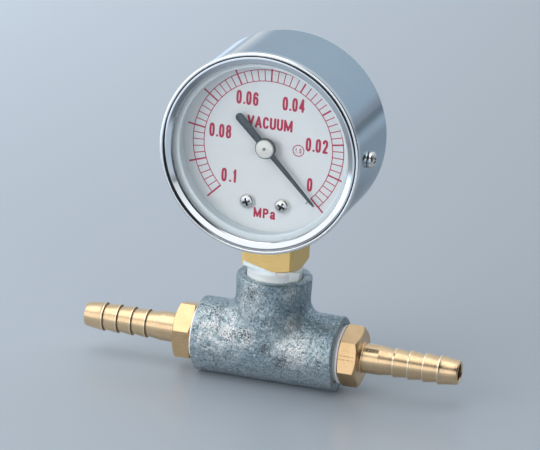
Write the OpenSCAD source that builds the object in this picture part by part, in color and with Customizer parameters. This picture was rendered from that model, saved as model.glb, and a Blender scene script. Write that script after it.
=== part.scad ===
// In-line vacuum gauge assembly: a Bourdon-tube gauge on a malleable-iron tee
// with a brass hose nipple screwed into each end of the run.
// Millimetres, +Z up. The origin is where the run axis (X) crosses the branch
// axis (Z). The dial faces -Y. Names ending in _r are radii, in _at are [x, y] places.

/* [Tee] */
// Centre to end face, run and branch
tee_reach = 23; // [22:0.5:26]
// Outside radius of the casting
tee_r = 11.84; // [11.5:0.02:12.5]
// Radius of the cored passage inside the tee
tee_core_r = 7.4; // [6.5:0.1:7.6]

/* [Hose nipples] */
// Hexagon size across flats
hex_flats = 17; // [16:0.5:19]
// Hexagon length along the run
hex_len = 6; // [5:0.5:8]
// Distance of the hose tip from the tee centre
nipple_reach = 61.45; // [58:0.05:66]
// Radius at the barb crests
crest_r = 4.67; // [4.4:0.01:4.68]
// Radius at the barb roots
root_r = 4.0; // [3.8:0.05:4.2]
// Spacing of the barb crests
barb_pitch = 4.8; // [4:0.1:5]
// Radius of the plain neck behind the barbs
neck_r = 4.7; // [4.69:0.01:5]
// Radius of the flow bore
flow_r = 2.7; // [2.2:0.1:3]

/* [Gauge] */
// Height of the gauge centre above the run axis
gauge_height = 68.6; // [66:0.2:72]
// Outside radius of the case
case_r = 31.2; // [30.6:0.1:31.3]
// Rear of the case behind the stem axis
case_back = 8.9; // [8.8:0.1:12]
// Side of the square stem block
block_side = 17; // [15:0.5:18]
// Height of the underside of the stem block
block_z = 26.2; // [25.5:0.1:27]
// Scale sweep of the pointer in degrees
scale_sweep = 270; // [180:10:270]

/* [Movement] */
// Gear module of the pinion and sector
gear_module = 0.3; // [0.28:0.01:0.3]
// Teeth on the pinion
pinion_teeth = 12; // [12:1:12]
// Teeth the sector would have as a full wheel
wheel_teeth = 96; // [96:1:96]
// Number of teeth cut on the sector
sector_teeth = 13; // [12:1:13]
// Direction of the sector pivot from the gauge centre in degrees
sector_dir = -50; // [-50:1:-50]
// Length of the sector tail
tail_len = 6; // [6:0.5:6]
// Direction of the sector tail at zero in degrees
tail_dir = -9; // [-9:1:-9]
// Mean radius of the Bourdon tube
tube_r = 24; // [23.5:0.1:24.5]

/* [Hidden] */
$fn = 64;
gap = 0.02; // clearance between neighbouring pieces

// colours shared by several pieces
brass = [0.84, 0.70, 0.44];
tape_white = [0.95, 0.95, 0.94];
bright_steel = [0.82, 0.84, 0.86];
screw_steel = [0.80, 0.81, 0.82];
shaft_steel = [0.72, 0.73, 0.75];

// depths in front of the stem axis, towards the dial side;
// z0 is a back face and z1 a front face
bezel_front = 24.7;
bezel_lip_back = bezel_front - 1.4;
case_front = 22.68;
glass_back = 21.6;
gasket_back = 20.8;
pointer_back = 17.3;
pointer_hub_front = pointer_back + 0.8;
dial_z0 = 14.2;
dial_z1 = 15.0;
side_screw_z = 12;
back_plate_z0 = 6.8;
back_plate_z1 = 7.8;
front_plate_z0 = 12.6;
front_plate_z1 = 13.4;
sector_z0 = 8.6;
sector_z1 = 9.4;

function polar(radius, angle) = [radius * cos(angle), radius * sin(angle)];
function arc(centre, radius, from, step, to) =
    [for (a = [from:step:to]) centre + polar(radius, a)];

// places on the movement, seen from the dial side
pinion_r = gear_module * pinion_teeth / 2;
sector_r = gear_module * wheel_teeth / 2;
sector_at = polar(pinion_r + sector_r, sector_dir);
tail_at = sector_at + polar(tail_len, tail_dir);
tip_at = polar(21.4, -7);
pillars_at = [[-9, -8.5], [-1, 9.2], [14.2, 3.6]];
posts_at = [[-5.6, -18.2], [5.6, -18.2]];
movement_screws_at = [[-3.4, -22.8], [3.4, -22.8]];
zero_angle = 90 - scale_sweep / 2; // the scale is symmetric about the top

// local X and Y are the dial's right and up, local Z comes out of the dial
module gauge() translate([0, 0, gauge_height]) rotate([90, 0, 0]) children();
// local Z runs along +X
module along_x() rotate([0, 90, 0]) children();
// local Z runs along -X
module along_minus_x() rotate([0, -90, 0]) children();
module at(place, z = 0) translate([place.x, place.y, z]) children();
module at_each(places) for (place = places) at(place) children();

module ring(outer_r, inner_r, z0, z1) translate([0, 0, z0]) difference() {
    cylinder(r = outer_r, h = z1 - z0);
    translate([0, 0, -1]) cylinder(r = inner_r, h = z1 - z0 + 2);
}
module rod(radius, z0, z1) translate([0, 0, z0]) cylinder(r = radius, h = z1 - z0);

// screw with a domed head and a cross recess; head seat at z = 0
module cross_screw(head_r, head_h, shank_r, shank_len) difference() {
    rim_h = head_h * 0.35;
    dome_r = head_h * 0.65;
    union() {
        rotate_extrude() polygon([[0, 0], [head_r, 0],
            each arc([head_r - dome_r, rim_h], dome_r, 0, 15, 90), [0, head_h]]);
        translate([0, 0, -shank_len]) cylinder(r = shank_r, h = shank_len + 0.01);
    }
    for (a = [0, 90]) rotate([0, 0, a + 20])
        translate([-head_r * 0.58, -head_r * 0.11, rim_h])
            cube([head_r * 1.16, head_r * 0.22, head_h]);
}
// flat-headed screw through a plate whose front is at seat;
// slot is [length, width, z of its floor]
module slotted_screw(head_r, seat, head_front, shank_r, shank_back, slot) difference() {
    union() {
        rod(head_r, seat + gap, head_front);
        rod(shank_r, shank_back, seat + 0.1);
    }
    translate([-slot.x / 2, -slot.y / 2, slot.z]) cube([slot.x, slot.y, 1]);
}

// turned rings standing for the male pipe thread, ending at z = end and
// tapering towards z = 0
thread_r = 8.33;
thread_pitch = 1.337;
thread_depth = 0.62;
function thread_points(turns, end) = [for (i = [0:turns - 1])
    let (z = end - thread_pitch * (turns - i), ridge_r = thread_r - (end - z) / 32)
    each [[ridge_r - thread_depth, z], [ridge_r, z + 0.55], [ridge_r, z + 0.75]]];

// ---------------------------------------------------------------- fittings
socket_r = 8.7;
hex_start = 24.2; // hexagon's near face, from the tee centre

module end_socket() {
    translate([0, 0, 12.3]) cylinder(r = socket_r, h = 30);
    translate([0, 0, tee_reach - 0.5]) cylinder(r1 = socket_r, r2 = 9.3, h = 0.6);
}
// one arm of the tee along Z, its outer edge eased
module tee_arm(radius) rotate_extrude() polygon([[0, 0], [radius, 0],
    [radius, tee_reach - 1.1], [radius - 0.35, tee_reach - 0.4],
    [radius - 0.95, tee_reach], [0, tee_reach]]);
// the branch and its core are drawn slightly smaller than the run's
module tee_fitting() color([0.55, 0.62, 0.66]) difference() {
    union() {
        along_x() tee_arm(tee_r);
        along_minus_x() tee_arm(tee_r);
        tee_arm(tee_r - 0.03);
    }
    along_x() rod(tee_core_r, -30, 30);
    cylinder(r = tee_core_r - 0.02, h = 40);
    for (a = [-90, 0, 90]) rotate([0, a, 0]) end_socket();
}

// [radius, z] from the thread end to the hose tip
thread_end = 23.6;
thread_relief_r = 8.0;
neck_start = hex_start + hex_len - 0.1;
barb_count = 4;
last_crest = nipple_reach - 6.35;
function nipple_points() = [[0, 12.86], each thread_points(8, thread_end),
    [thread_relief_r, thread_end], [thread_relief_r, hex_start + 0.1],
    [neck_r + 1.2, hex_start + 0.1], [neck_r + 1.2, neck_start],
    [neck_r, neck_start], [neck_r, last_crest - barb_count * barb_pitch],
    for (i = [barb_count - 1:-1:0]) let (crest = last_crest - i * barb_pitch)
        each [[root_r, crest - 0.14], [crest_r, crest]],
    [3.8, nipple_reach - 0.45], [3.62, nipple_reach - 0.1],
    [3.45, nipple_reach], [0, nipple_reach]];
// hex_turn is the angle of the hexagon about the run, in degrees
module nipple(hex_turn) difference() {
    flat_r = hex_flats / 2;
    union() {
        rotate_extrude() polygon(nipple_points());
        // hexagon with its corners turned away at both ends
        intersection() {
            translate([0, 0, hex_start]) rotate([0, 0, hex_turn])
                cylinder(r = hex_flats / sqrt(3), h = hex_len, $fn = 6);
            translate([0, 0, hex_start]) rotate_extrude() polygon([[0, 0],
                [flat_r + 0.5, 0], [flat_r + 1.7, 0.7], [flat_r + 1.7, hex_len - 1.0],
                [flat_r - 0.35, hex_len], [0, hex_len]]);
        }
    }
    cylinder(r = flow_r, h = 80);
    translate([0, 0, nipple_reach - 0.3]) cylinder(r1 = flow_r, r2 = flow_r + 0.35, h = 0.35);
}
module right_hose_nipple() color(brass) along_x() nipple(hex_turn = 13);
module left_hose_nipple() color(brass) along_minus_x() nipple(hex_turn = 15);

// wound sealing tape between the male thread and the tee's mouth
tape_inner_r = 8.36;
tape_outer_r = 8.66;
tape_start = 13.2;
module tape(end) rotate_extrude() polygon([[tape_inner_r, tape_start],
    [tape_outer_r, tape_start], [tape_outer_r, end - 0.25],
    [8.5, end - gap], [tape_inner_r, end - gap]]);
module right_thread_tape() color(tape_white) along_x() tape(hex_start);
module left_thread_tape() color(tape_white) along_minus_x() tape(hex_start);
module stem_thread_tape() color(tape_white) tape(block_z);

// ---------------------------------------------------------------- stem
// rectangular tongue that rises from the stem block into the case
tongue_half_width = 6.5;
tongue_front = 6.78;
tongue_back = 6.8;
tongue_top = 49.4;
tongue_slot_margin = 0.55;
stem_thread_end = 25.2;
stem_neck_r = 8.1;
block_corner_r = 11.35;

// Bourdon tube section, centred at tube_z in depth
tube_thickness = 3;
tube_width = 10;
tube_wall = 0.35;
tube_z = -1.5;

// tongue's plan grown by margin on all sides, between two heights
module tongue_box(margin, z0, z1)
    translate([-tongue_half_width - margin, -tongue_front - margin, z0])
        cube([2 * (tongue_half_width + margin),
            tongue_front + tongue_back + 2 * margin, z1 - z0]);

module stem_socket() color([0.86, 0.68, 0.36]) difference() {
    block_base = block_z + 1;
    pocket_clearance = 0.06;
    union() {
        rotate_extrude() polygon([[0, 12.4], each thread_points(9, stem_thread_end),
            [stem_neck_r, stem_thread_end], [stem_neck_r, block_base], [0, block_base]]);
        // square wrench block, its lower corners turned away, its top
        // following the round case
        difference() {
            intersection() {
                rotate([0, 0, -2.5]) translate([-block_side / 2, -block_side / 2, block_z])
                    cube([block_side, block_side, 14]);
                translate([0, 0, block_z]) rotate_extrude() polygon([[0, 0],
                    [block_side / 2 - 0.1, 0], [block_corner_r, 1.24],
                    [block_corner_r, 15], [0, 15]]);
            }
            gauge() rod(case_r + 0.3, -20, 30);
        }
        tongue_box(0, block_base, tongue_top);
    }
    // pressure passage and cross port to the tube
    cylinder(r = 1.5, h = 46);
    translate([-2.6, 0, gauge_height - tube_r]) along_x() cylinder(r = 1, h = 2.8);
    // pocket for the fixed end of the tube
    gauge() rotate([0, 0, 251]) rotate_extrude(angle = 14)
        translate([tube_r - tube_thickness / 2 - pocket_clearance,
            tube_z - tube_width / 2 - pocket_clearance])
            square([tube_thickness + 2 * pocket_clearance, tube_width + 2 * pocket_clearance]);
    gauge() at_each(movement_screws_at) rod(1.05, 3, 8);
}

// ---------------------------------------------------------------- case
case_wall = 0.8;
case_bore_r = case_r - case_wall;
// the two side screws, left and right, sit a degree off the horizontal
module both_sides() for (side = [0, 180]) rotate([0, 0, side - 1]) children();
module side_holes(radius) both_sides()
    translate([20, 0, side_screw_z]) along_x() cylinder(r = radius, h = 20);

module case_shell() color([0.70, 0.77, 0.83]) difference() {
    corner_r = 2;
    inner_corner_r = 1.3;
    inset = case_wall + inner_corner_r;
    gauge() rotate_extrude() polygon([[0, -case_back],
        each arc([case_r - corner_r, corner_r - case_back], corner_r, -90, 15, 0),
        [case_r, case_front - 0.15], [case_r - 0.15, case_front], [case_bore_r, case_front],
        each arc([case_r - inset, inset - case_back], inner_corner_r, 0, -15, -90),
        [0, case_wall - case_back]]);
    tongue_box(tongue_slot_margin, 30, 42);
    gauge() side_holes(1.6);
}
// thin saddle gasket filling the slot between the tongue and the case
module case_socket_gasket() color([0.12, 0.12, 0.13]) intersection() {
    difference() {
        tongue_box(tongue_slot_margin - gap, 30, 42);
        tongue_box(gap, 29, 43);
    }
    gauge() ring(case_r + 0.25, case_bore_r, -10, 20);
}

bezel_r = 31.6;
bezel_edge_r = 0.55;
bezel_bore_r = 29.62;
bezel_back = 20.2;
window_r = 29.58;
module bezel_ring() color([0.82, 0.86, 0.89]) gauge() rotate_extrude() polygon([
    [bezel_r, case_front + gap],
    each arc([bezel_r - bezel_edge_r, bezel_front - bezel_edge_r], bezel_edge_r, 0, 18, 90),
    // groove and sloping lip over the glass
    [30.5, bezel_front - 0.12], [30.3, bezel_front - 0.5], [29.85, bezel_front - 0.5],
    [29.65, bezel_front - 0.2], [28.2, bezel_front - 0.55], [27.95, bezel_front - 0.75],
    [27.9, bezel_front - 1.0], [27.9, bezel_lip_back],
    [bezel_bore_r, bezel_lip_back], [bezel_bore_r, bezel_back],
    [case_bore_r - gap, bezel_back], [case_bore_r - gap, case_front + gap]]);
module window_glass() color([0.85, 0.92, 0.95, 0.3]) gauge()
    rod(window_r, glass_back, bezel_lip_back - gap);
module window_gasket() color([0.62, 0.68, 0.72]) gauge()
    ring(window_r, 26.3, gasket_back, glass_back - gap);
module window_spacer_ring() color([0.72, 0.78, 0.83]) gauge()
    ring(29.2, 27.1, dial_z1 + gap, gasket_back - gap);
// ring behind the dial with a lug for each side screw
module dial_carrier_ring() color([0.75, 0.77, 0.78]) gauge() difference() {
    union() {
        // turned so that the ring's seam lies clear of the holes
        rotate([0, 0, 90]) ring(case_bore_r - 2 * gap, 28.7, 10.0, dial_z0 - gap);
        both_sides() translate([26.4, -3.4, 10.2]) cube([3.2, 6.8, 3.8]);
    }
    side_holes(1.5);
}
module case_side_screws() color(bright_steel) gauge() both_sides()
    translate([case_r + gap, 0, side_screw_z]) along_x()
        cross_screw(head_r = 2.65, head_h = 2.0, shank_r = 1.45, shank_len = 4.6);

// ---------------------------------------------------------------- dial
stop_pin_r = 0.35;
module at_stop_pin() rotate([0, 0, zero_angle - 2.8]) translate([20.7, 0, 0]) children();

module dial_plate() color([0.88, 0.92, 0.94]) gauge() difference() {
    rod(29.3, dial_z0, dial_z1);
    rod(1.6, 13, 16);
    at_each(posts_at) rod(1.1, 13, 16);
    at_stop_pin() rod(stop_pin_r + gap, 13, 16);
}
module dial_screws() color(bright_steel) gauge() at_each(posts_at)
    translate([0, 0, dial_z1 + gap])
        cross_screw(head_r = 2.25, head_h = 1.35, shank_r = 1.0, shank_len = 4.4);
module dial_posts() color(brass) gauge() at_each(posts_at) difference() {
    union() {
        rod(2.2, back_plate_z1 + gap, dial_z0 - gap);
        rod(1.18, back_plate_z0 + gap, back_plate_z1 + 0.1);
    }
    rod(1.05, 10.2, 15);
}
module zero_stop_pin() color([0.45, 0.48, 0.50]) gauge()
    at_stop_pin() rod(stop_pin_r, 14.3, 17.95);

// ---------------------------------------------------------------- movement plates
// plate outlines as [x, y] from the gauge centre
back_plate_outline = [[-6.2, -25.2], [6.2, -25.2], [8.6, -18.8], [12.4, -14.9],
    [13.2, -6], [16.9, 3.2], [14.2, 6.4], [1.2, 12], [-3.2, 11.4],
    [-12, -7], [-11.4, -10.6], [-8.6, -18.8]];
front_plate_outline = [[-12, -7], [-11.4, -10.6], [8.8, -14.9], [12.4, -14.4],
    [13.2, -6], [16.9, 3.2], [14.2, 6.4], [1.2, 12], [-3.2, 11.4]];
pivot_hole_r = 0.65;

module movement_back_plate() color(brass) gauge() difference() {
    translate([0, 0, back_plate_z0]) linear_extrude(height = back_plate_z1 - back_plate_z0)
        polygon(back_plate_outline);
    at_each([[0, 0], sector_at]) rod(pivot_hole_r, 5, 9);
    at_each(pillars_at) rod(1.02, 5, 9);
    at_each(posts_at) rod(1.2, 5, 9);
    at_each(movement_screws_at) rod(1.1, 5, 9);
}
module movement_front_plate() color(brass) gauge() difference() {
    translate([0, 0, front_plate_z0]) linear_extrude(height = front_plate_z1 - front_plate_z0)
        polygon(front_plate_outline);
    rod(0.86, 11, 15);
    at(sector_at) rod(pivot_hole_r, 11, 15);
    at_each(pillars_at) rod(0.9, 11, 15);
}
module movement_pillars() color(brass) gauge() at_each(pillars_at) difference() {
    union() {
        rod(1.8, back_plate_z1 + gap, front_plate_z0 - gap);
        rod(1.0, back_plate_z0 + gap, back_plate_z1 + 0.1);
    }
    rod(0.86, 8.6, 14);
}
module pillar_screws() color(screw_steel) gauge() at_each(pillars_at)
    slotted_screw(head_r = 1.6, seat = front_plate_z1, head_front = 14.0,
        shank_r = 0.82, shank_back = 8.8, slot = [4, 0.36, 13.75]);
module movement_screws() color(screw_steel) gauge() at_each(movement_screws_at)
    slotted_screw(head_r = 1.9, seat = back_plate_z1, head_front = 8.8,
        shank_r = 1.02, shank_back = 3.75, slot = [4.4, 0.44, 8.35]);

// ---------------------------------------------------------------- tube and tip
tube_start = -4; // free end, degrees
tube_end = 263; // fixed end, in the stem pocket
function stadium(width, height) = let (top = [0, (height - width) / 2])
    concat(arc(top, width / 2, 0, 22.5, 180), arc(-top, width / 2, 180, 22.5, 360));
module bourdon_tube() color([0.78, 0.60, 0.34]) gauge() rotate([0, 0, tube_start])
    rotate_extrude(angle = tube_end - tube_start) translate([tube_r, tube_z]) difference() {
        polygon(stadium(tube_thickness, tube_width));
        polygon(stadium(tube_thickness - 2 * tube_wall, tube_width - 2 * tube_wall));
    }
// block on the free end of the tube, with a headed pin for the link
module tube_tip() color(brass) gauge() {
    rotate([0, 0, tube_start - 0.1]) rotate_extrude(angle = -6)
        translate([20.4, -6.8]) square([5.4, 10.6]);
    at(tip_at) {
        rod(0.5, 3.5, 8.58);
        rod(0.95, 8.56, 8.95);
    }
}

// ---------------------------------------------------------------- linkage
// flat bar with round ends, from the sector tail to the tube tip
module tip_link() color(brass) gauge() {
    reach = tip_at - tail_at;
    length = norm(reach);
    thickness = 0.6;
    width = 1.7;
    at(tail_at, 7.9) rotate([0, 0, atan2(reach.y, reach.x)]) difference() {
        union() {
            cylinder(r = 1.3, h = thickness);
            translate([length, 0, 0]) cylinder(r = 1.5, h = thickness);
            translate([0, -width / 2, 0]) cube([length, width, thickness]);
        }
        translate([0, 0, -1]) cylinder(r = 0.56, h = 3);
        translate([length, 0, -1]) cylinder(r = 0.74, h = 3);
    }
}
module tail_pin() color(screw_steel) gauge() at(tail_at) {
    rod(0.5, 7.5, 9.8);
    rod(0.95, 7.4, 7.86);
    rod(0.95, sector_z1 + gap, 9.85);
}

// ---------------------------------------------------------------- gears
pressure_angle = 20;
tooth_thinning = 0.07;
// involute flank point at a roll angle in degrees
function involute(base_r, roll) = let (turned = roll * PI / 180)
    [base_r * (cos(roll) + turned * sin(roll)), base_r * (sin(roll) - turned * cos(roll))];
function rotated(p, a) = [p.x * cos(a) - p.y * sin(a), p.x * sin(a) + p.y * cos(a)];
// roll angle at which the involute reaches a radius
function roll_at(base_r, radius) =
    sqrt(max(0, radius * radius / (base_r * base_r) - 1)) * 180 / PI;
// outline of one tooth centred on angle 0
function tooth(pitch_r, outer_r, foot_r) = let (
        base_r = pitch_r * cos(pressure_angle),
        pitch_point = involute(base_r, roll_at(base_r, pitch_r)),
        flank_angle = atan2(pitch_point.y, pitch_point.x),
        half_angle = (PI * gear_module / 2 - tooth_thinning) / 2 / pitch_r * 180 / PI,
        start_r = max(base_r, foot_r),
        steps = 5,
        flank = [for (i = [0:steps])
            let (radius = start_r + (outer_r - start_r) * i / steps)
            rotated(involute(base_r, roll_at(base_r, radius)), -half_angle - flank_angle)],
        foot_angle = half_angle + 0.7 * flank_angle + 0.6)
    [polar(foot_r, -foot_angle), each flank,
        for (i = [steps:-1:0]) [flank[i].x, -flank[i].y],
        polar(foot_r, foot_angle)];

module sector_gear() color(brass) gauge() at(sector_at, sector_z0) difference() {
    linear_extrude(height = sector_z1 - sector_z0) rotate(sector_dir + 180) {
        step = 360 / wheel_teeth;
        rim_r = sector_r - 1.25 * gear_module;
        start = -1.5 * step - 1.2;
        end = (sector_teeth - 1.5) * step + 1.2;
        // toothed rim, two arms, hub
        intersection() {
            difference() {
                circle(r = rim_r + 0.02, $fn = 256);
                circle(r = rim_r - 2.1, $fn = 256);
            }
            polygon([[0, 0], for (a = [start, (start + end) / 2, end]) polar(30, a)]);
        }
        for (i = [-1:sector_teeth - 2]) rotate((i + 0.5) * step)
            polygon(tooth(sector_r, sector_r + 0.7 * gear_module, rim_r - 0.3));
        for (a = [start + 4.6, end - 4.6]) rotate(a)
            translate([0, -0.75]) square([rim_r - 0.5, 1.5]);
        circle(r = 2.2);
        // tail with its rounded end
        rotate(tail_dir - sector_dir - 180) {
            translate([0, -1.2]) square([tail_len, 2.4]);
            translate([tail_len, 0]) circle(r = 1.4);
        }
    }
    translate([0, 0, -1]) cylinder(r = 0.62, h = 3);
    at(tail_at - sector_at, -1) cylinder(r = 0.52, h = 3);
}
module sector_shaft() color(shaft_steel) gauge() at(sector_at) {
    rod(0.6, 6.9, 13.3);
    rod(1.2, back_plate_z1 + 0.1, sector_z0 - gap);
    rod(1.2, sector_z1 + gap, front_plate_z0 - 0.1);
}
// rear pivot, collar, pinion, arbor and pointer seat, from back to front
module pinion_shaft() color(shaft_steel) gauge() {
    rod(0.6, 6.9, 8.1);
    rod(1.1, 7.9, 8.3);
    translate([0, 0, 8.2]) linear_extrude(height = 1.6) {
        circle(r = pinion_r - gear_module + 0.02);
        for (i = [0:pinion_teeth - 1]) rotate(sector_dir + i * 360 / pinion_teeth)
            polygon(tooth(pinion_r, pinion_r + gear_module, pinion_r - gear_module - 0.3));
    }
    rod(0.8, 9.7, pointer_back - 0.2);
    rod(0.7, pointer_back - 0.3, 18.4);
}

// ---------------------------------------------------------------- hairspring
spring_steps = 150;
spring_turns = 4.25;
spring_start_r = 1.38;
spring_end_r = 6.0;
spring_thickness = 0.12;
function spiral(i, offset) = let (part = i / spring_steps)
    polar(spring_start_r + offset + (spring_end_r - spring_start_r) * part,
        360 * spring_turns * part);
module hairspring_collet() color(brass) gauge() ring(1.35, 0.81, 10.5, 11.8);
module hairspring() color([0.72, 0.56, 0.30]) gauge()
    translate([0, 0, 10.85]) linear_extrude(height = 0.6) polygon([
        for (i = [0:spring_steps]) spiral(i, 0),
        for (i = [spring_steps:-1:0]) spiral(i, spring_thickness)]);
module hairspring_stud() color(brass) gauge() rotate([0, 0, 360 * spring_turns])
    translate([6.66, 0, 0]) rod(0.5, 10.6, front_plate_z0 - gap);

// ---------------------------------------------------------------- pointer
pointer_tail = 12.25;
pointer_tail_r = 1.35;
// [x, y] with the tip along +X
pointer_outline = [[1, -0.85], [21.9, -0.42], [23.05, 0], [21.9, 0.42], [1, 0.85],
    [-1, 1.05], [-pointer_tail, pointer_tail_r], [-pointer_tail, -pointer_tail_r],
    [-1, -1.05]];
module pointer() color([0.25, 0.28, 0.31]) gauge() rotate([0, 0, zero_angle]) difference() {
    union() {
        translate([0, 0, pointer_back]) linear_extrude(height = 0.4) {
            polygon(pointer_outline);
            translate([-pointer_tail, 0]) circle(r = pointer_tail_r);
        }
        rod(3.25, pointer_back, pointer_hub_front);
    }
    rod(0.71, pointer_back - 1, pointer_back + 2);
}
module pointer_cap() color([0.80, 0.80, 0.78]) gauge() difference() {
    translate([0, 0, pointer_hub_front + gap]) rotate_extrude()
        polygon([[0, 0], [2.8, 0], [2.8, 0.4], [2.62, 0.62], [0, 0.72]]);
    rod(0.72, pointer_back, pointer_back + 1.15);
    rod(0.35, pointer_back + 1, pointer_back + 3);
}

tee_fitting();
left_hose_nipple();
right_hose_nipple();
left_thread_tape();
right_thread_tape();
stem_thread_tape();
stem_socket();
case_shell();
case_socket_gasket();
bezel_ring();
window_glass();
window_gasket();
window_spacer_ring();
dial_carrier_ring();
case_side_screws();
dial_plate();
dial_screws();
dial_posts();
zero_stop_pin();
movement_back_plate();
movement_front_plate();
movement_pillars();
pillar_screws();
movement_screws();
bourdon_tube();
tube_tip();
tip_link();
tail_pin();
sector_gear();
sector_shaft();
pinion_shaft();
hairspring_collet();
hairspring();
hairspring_stud();
pointer();
pointer_cap();
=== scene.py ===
"""A round vacuum gauge standing on a galvanised tee with a brass hose nipple at each side.

The tee's run lies along X with its axis through the origin, and its branch points up +Z.
The gauge stands on the branch, its dial facing -Y (the front). Pieces are measured in mm and
scaled to metres as their meshes are made. Gauge profiles give (radius, height), height being
measured out of the dial along -Y from the branch's plane.
"""
import math
import bpy
import bmesh
import numpy as np
from mathutils import Matrix, Vector, noise


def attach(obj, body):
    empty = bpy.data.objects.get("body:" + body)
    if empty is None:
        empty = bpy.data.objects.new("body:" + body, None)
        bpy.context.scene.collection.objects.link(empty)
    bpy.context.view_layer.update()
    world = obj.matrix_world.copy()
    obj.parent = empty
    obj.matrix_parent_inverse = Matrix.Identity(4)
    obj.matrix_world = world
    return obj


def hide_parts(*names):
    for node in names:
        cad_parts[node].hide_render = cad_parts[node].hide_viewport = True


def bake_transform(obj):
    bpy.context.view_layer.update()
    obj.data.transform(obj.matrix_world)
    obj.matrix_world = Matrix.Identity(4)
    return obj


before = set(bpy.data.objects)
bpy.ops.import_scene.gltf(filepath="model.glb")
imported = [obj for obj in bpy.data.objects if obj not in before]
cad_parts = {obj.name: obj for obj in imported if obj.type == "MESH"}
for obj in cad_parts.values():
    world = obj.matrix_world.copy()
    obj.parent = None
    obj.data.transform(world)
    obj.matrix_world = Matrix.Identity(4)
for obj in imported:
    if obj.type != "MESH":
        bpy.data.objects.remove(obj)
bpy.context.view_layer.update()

MM = 0.001
PI = math.pi
ROOT = "gauge_on_tee"
POINTER_BODY = "pointer_arbor"

GAUGE_Z = 68.6          # gauge centre above the run axis
TEE_HALF = 23.0         # run axis to the branch mouth, and half the run
TEE_R = 11.84
SOCKET_R = 8.72
CORE_R = 7.4
HEX_IN = 24.2           # nipple hexagon, from its inner to its outer face
HEX_OUT = 30.2
BLOCK_Z = 26.2          # foot of the stem block
BLOCK_HALF = 8.5        # half across its flats
BLOCK_TURN = math.radians(-2.5)
FOOT_R = 8.42           # where the bevel under the block begins
FOOT_SLOPE = 0.42
CASE_R = 31.2
CASE_BACK = -8.9
CASE_FRONT = 22.68
BEZEL_FRONT = 24.7
SIDE_HOLE_Y = -12       # screws at the sides of the case
DIAL_FACE = 15.0
PRINT_LOW = DIAL_FACE + 0.005
PRINT_TOP = DIAL_FACE + 0.045


# ------------------------------------------------------------------ node tools
class Signal:
    """A node output; arithmetic on it adds math nodes."""

    def __init__(self, nodes, socket):
        self.nodes = nodes
        self.socket = socket

    def __add__(self, other):
        return self.nodes.math("ADD", self, other)

    def __sub__(self, other):
        return self.nodes.math("SUBTRACT", self, other)

    def __rsub__(self, other):
        return self.nodes.math("SUBTRACT", other, self)

    def __mul__(self, other):
        return self.nodes.math("MULTIPLY", self, other)

    def __truediv__(self, other):
        return self.nodes.math("DIVIDE", self, other)

    def __abs__(self):
        return self.nodes.math("ABSOLUTE", self)

    def at_least(self, other):
        return self.nodes.math("MAXIMUM", self, other)

    def at_most(self, other):
        return self.nodes.math("MINIMUM", self, other)

    def remap(self, over, to=(0, 1)):
        """Maps the range over to the range to, clamped."""
        return self.nodes.node("ShaderNodeMapRange", {
            "Value": self, "From Min": over[0], "From Max": over[1],
            "To Min": to[0], "To Max": to[1]}, out="Result")


class Nodes:
    """Short way to write the node tree of a material or a world."""

    def __init__(self, owner, output, coordinates):
        owner.use_nodes = True
        self.owner = owner
        self.tree = owner.node_tree
        self.tree.nodes.clear()
        self.surface = self.tree.nodes.new(output).inputs[0]
        self.co = self.node("ShaderNodeTexCoord", out=coordinates)

    def node(self, kind, inputs=None, out=0, **settings):
        """Adds a node and returns its output named or numbered out."""
        made = self.tree.nodes.new(kind)
        for key, value in settings.items():
            setattr(made, key, value)
        for key, value in (inputs or {}).items():
            socket = made.inputs[key]
            if value is None:
                continue
            if isinstance(value, Signal):
                self.tree.links.new(value.socket, socket)
            elif isinstance(value, tuple) and len(value) < len(socket.default_value):
                socket.default_value = (*value, 1.0)
            else:
                socket.default_value = value
        return Signal(self, made.outputs[out])

    def finish(self, shader):
        self.tree.links.new(shader.socket, self.surface)
        return self.owner

    def math(self, operation, a, b=0.0, clamp=False):
        return self.node("ShaderNodeMath", {0: a, 1: b, 2: 0.0},
                         operation=operation, use_clamp=clamp)

    def vector(self, operation, a, b, out=0):
        return self.node("ShaderNodeVectorMath", {0: a, 1: b}, out, operation=operation)

    def stretched(self, x, y, z):
        return self.vector("MULTIPLY", self.co, (x, y, z))

    def dot(self, direction):
        unit = tuple(Vector(direction).normalized())
        return self.vector("DOT_PRODUCT", self.co, unit, "Value")

    def blob(self, centre, radius, soft):
        """1 inside a ball, falling to 0 at radius over its outer part soft."""
        distance = self.vector("DISTANCE", self.co, centre, "Value")
        return distance.remap(over=(radius * (1 - soft), radius), to=(1.0, 0.0))

    def xyz(self):
        split = self.node("ShaderNodeSeparateXYZ", {0: self.co}).socket.node
        return [Signal(self, socket) for socket in split.outputs]

    def noise(self, scale, detail=3.0, rough=0.55, distortion=0.0, co=None):
        return self.node("ShaderNodeTexNoise", {
            "Scale": scale, "Detail": detail, "Roughness": rough,
            "Distortion": distortion, "Vector": co or self.co}, out="Fac")

    def mix(self, amount, under, over):
        return self.node("ShaderNodeMix", {"Factor": amount, 6: under, 7: over}, out=2,
                         data_type="RGBA")

    def bump(self, height, strength, depth, under=None):
        """Bump of a depth in mm, on top of the bump under."""
        return self.node("ShaderNodeBump", {
            "Strength": strength, "Distance": depth * MM, "Height": height,
            "Normal": under}, out="Normal")

    def bsdf(self, color, metallic, roughness, normal, **extra):
        inputs = {"Base Color": color, "Metallic": metallic, "Roughness": roughness,
                  "Normal": normal}
        inputs.update({key.replace("_", " "): value for key, value in extra.items()})
        return self.finish(self.node("ShaderNodeBsdfPrincipled", inputs))


def material(name):
    """Nodes of a new material, with coordinates in object space in mm."""
    m = Nodes(bpy.data.materials.new(name), "ShaderNodeOutputMaterial", "Object")
    m.co = m.node("ShaderNodeVectorMath", {0: m.co, "Scale": 1000.0}, operation="SCALE")
    return m


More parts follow.
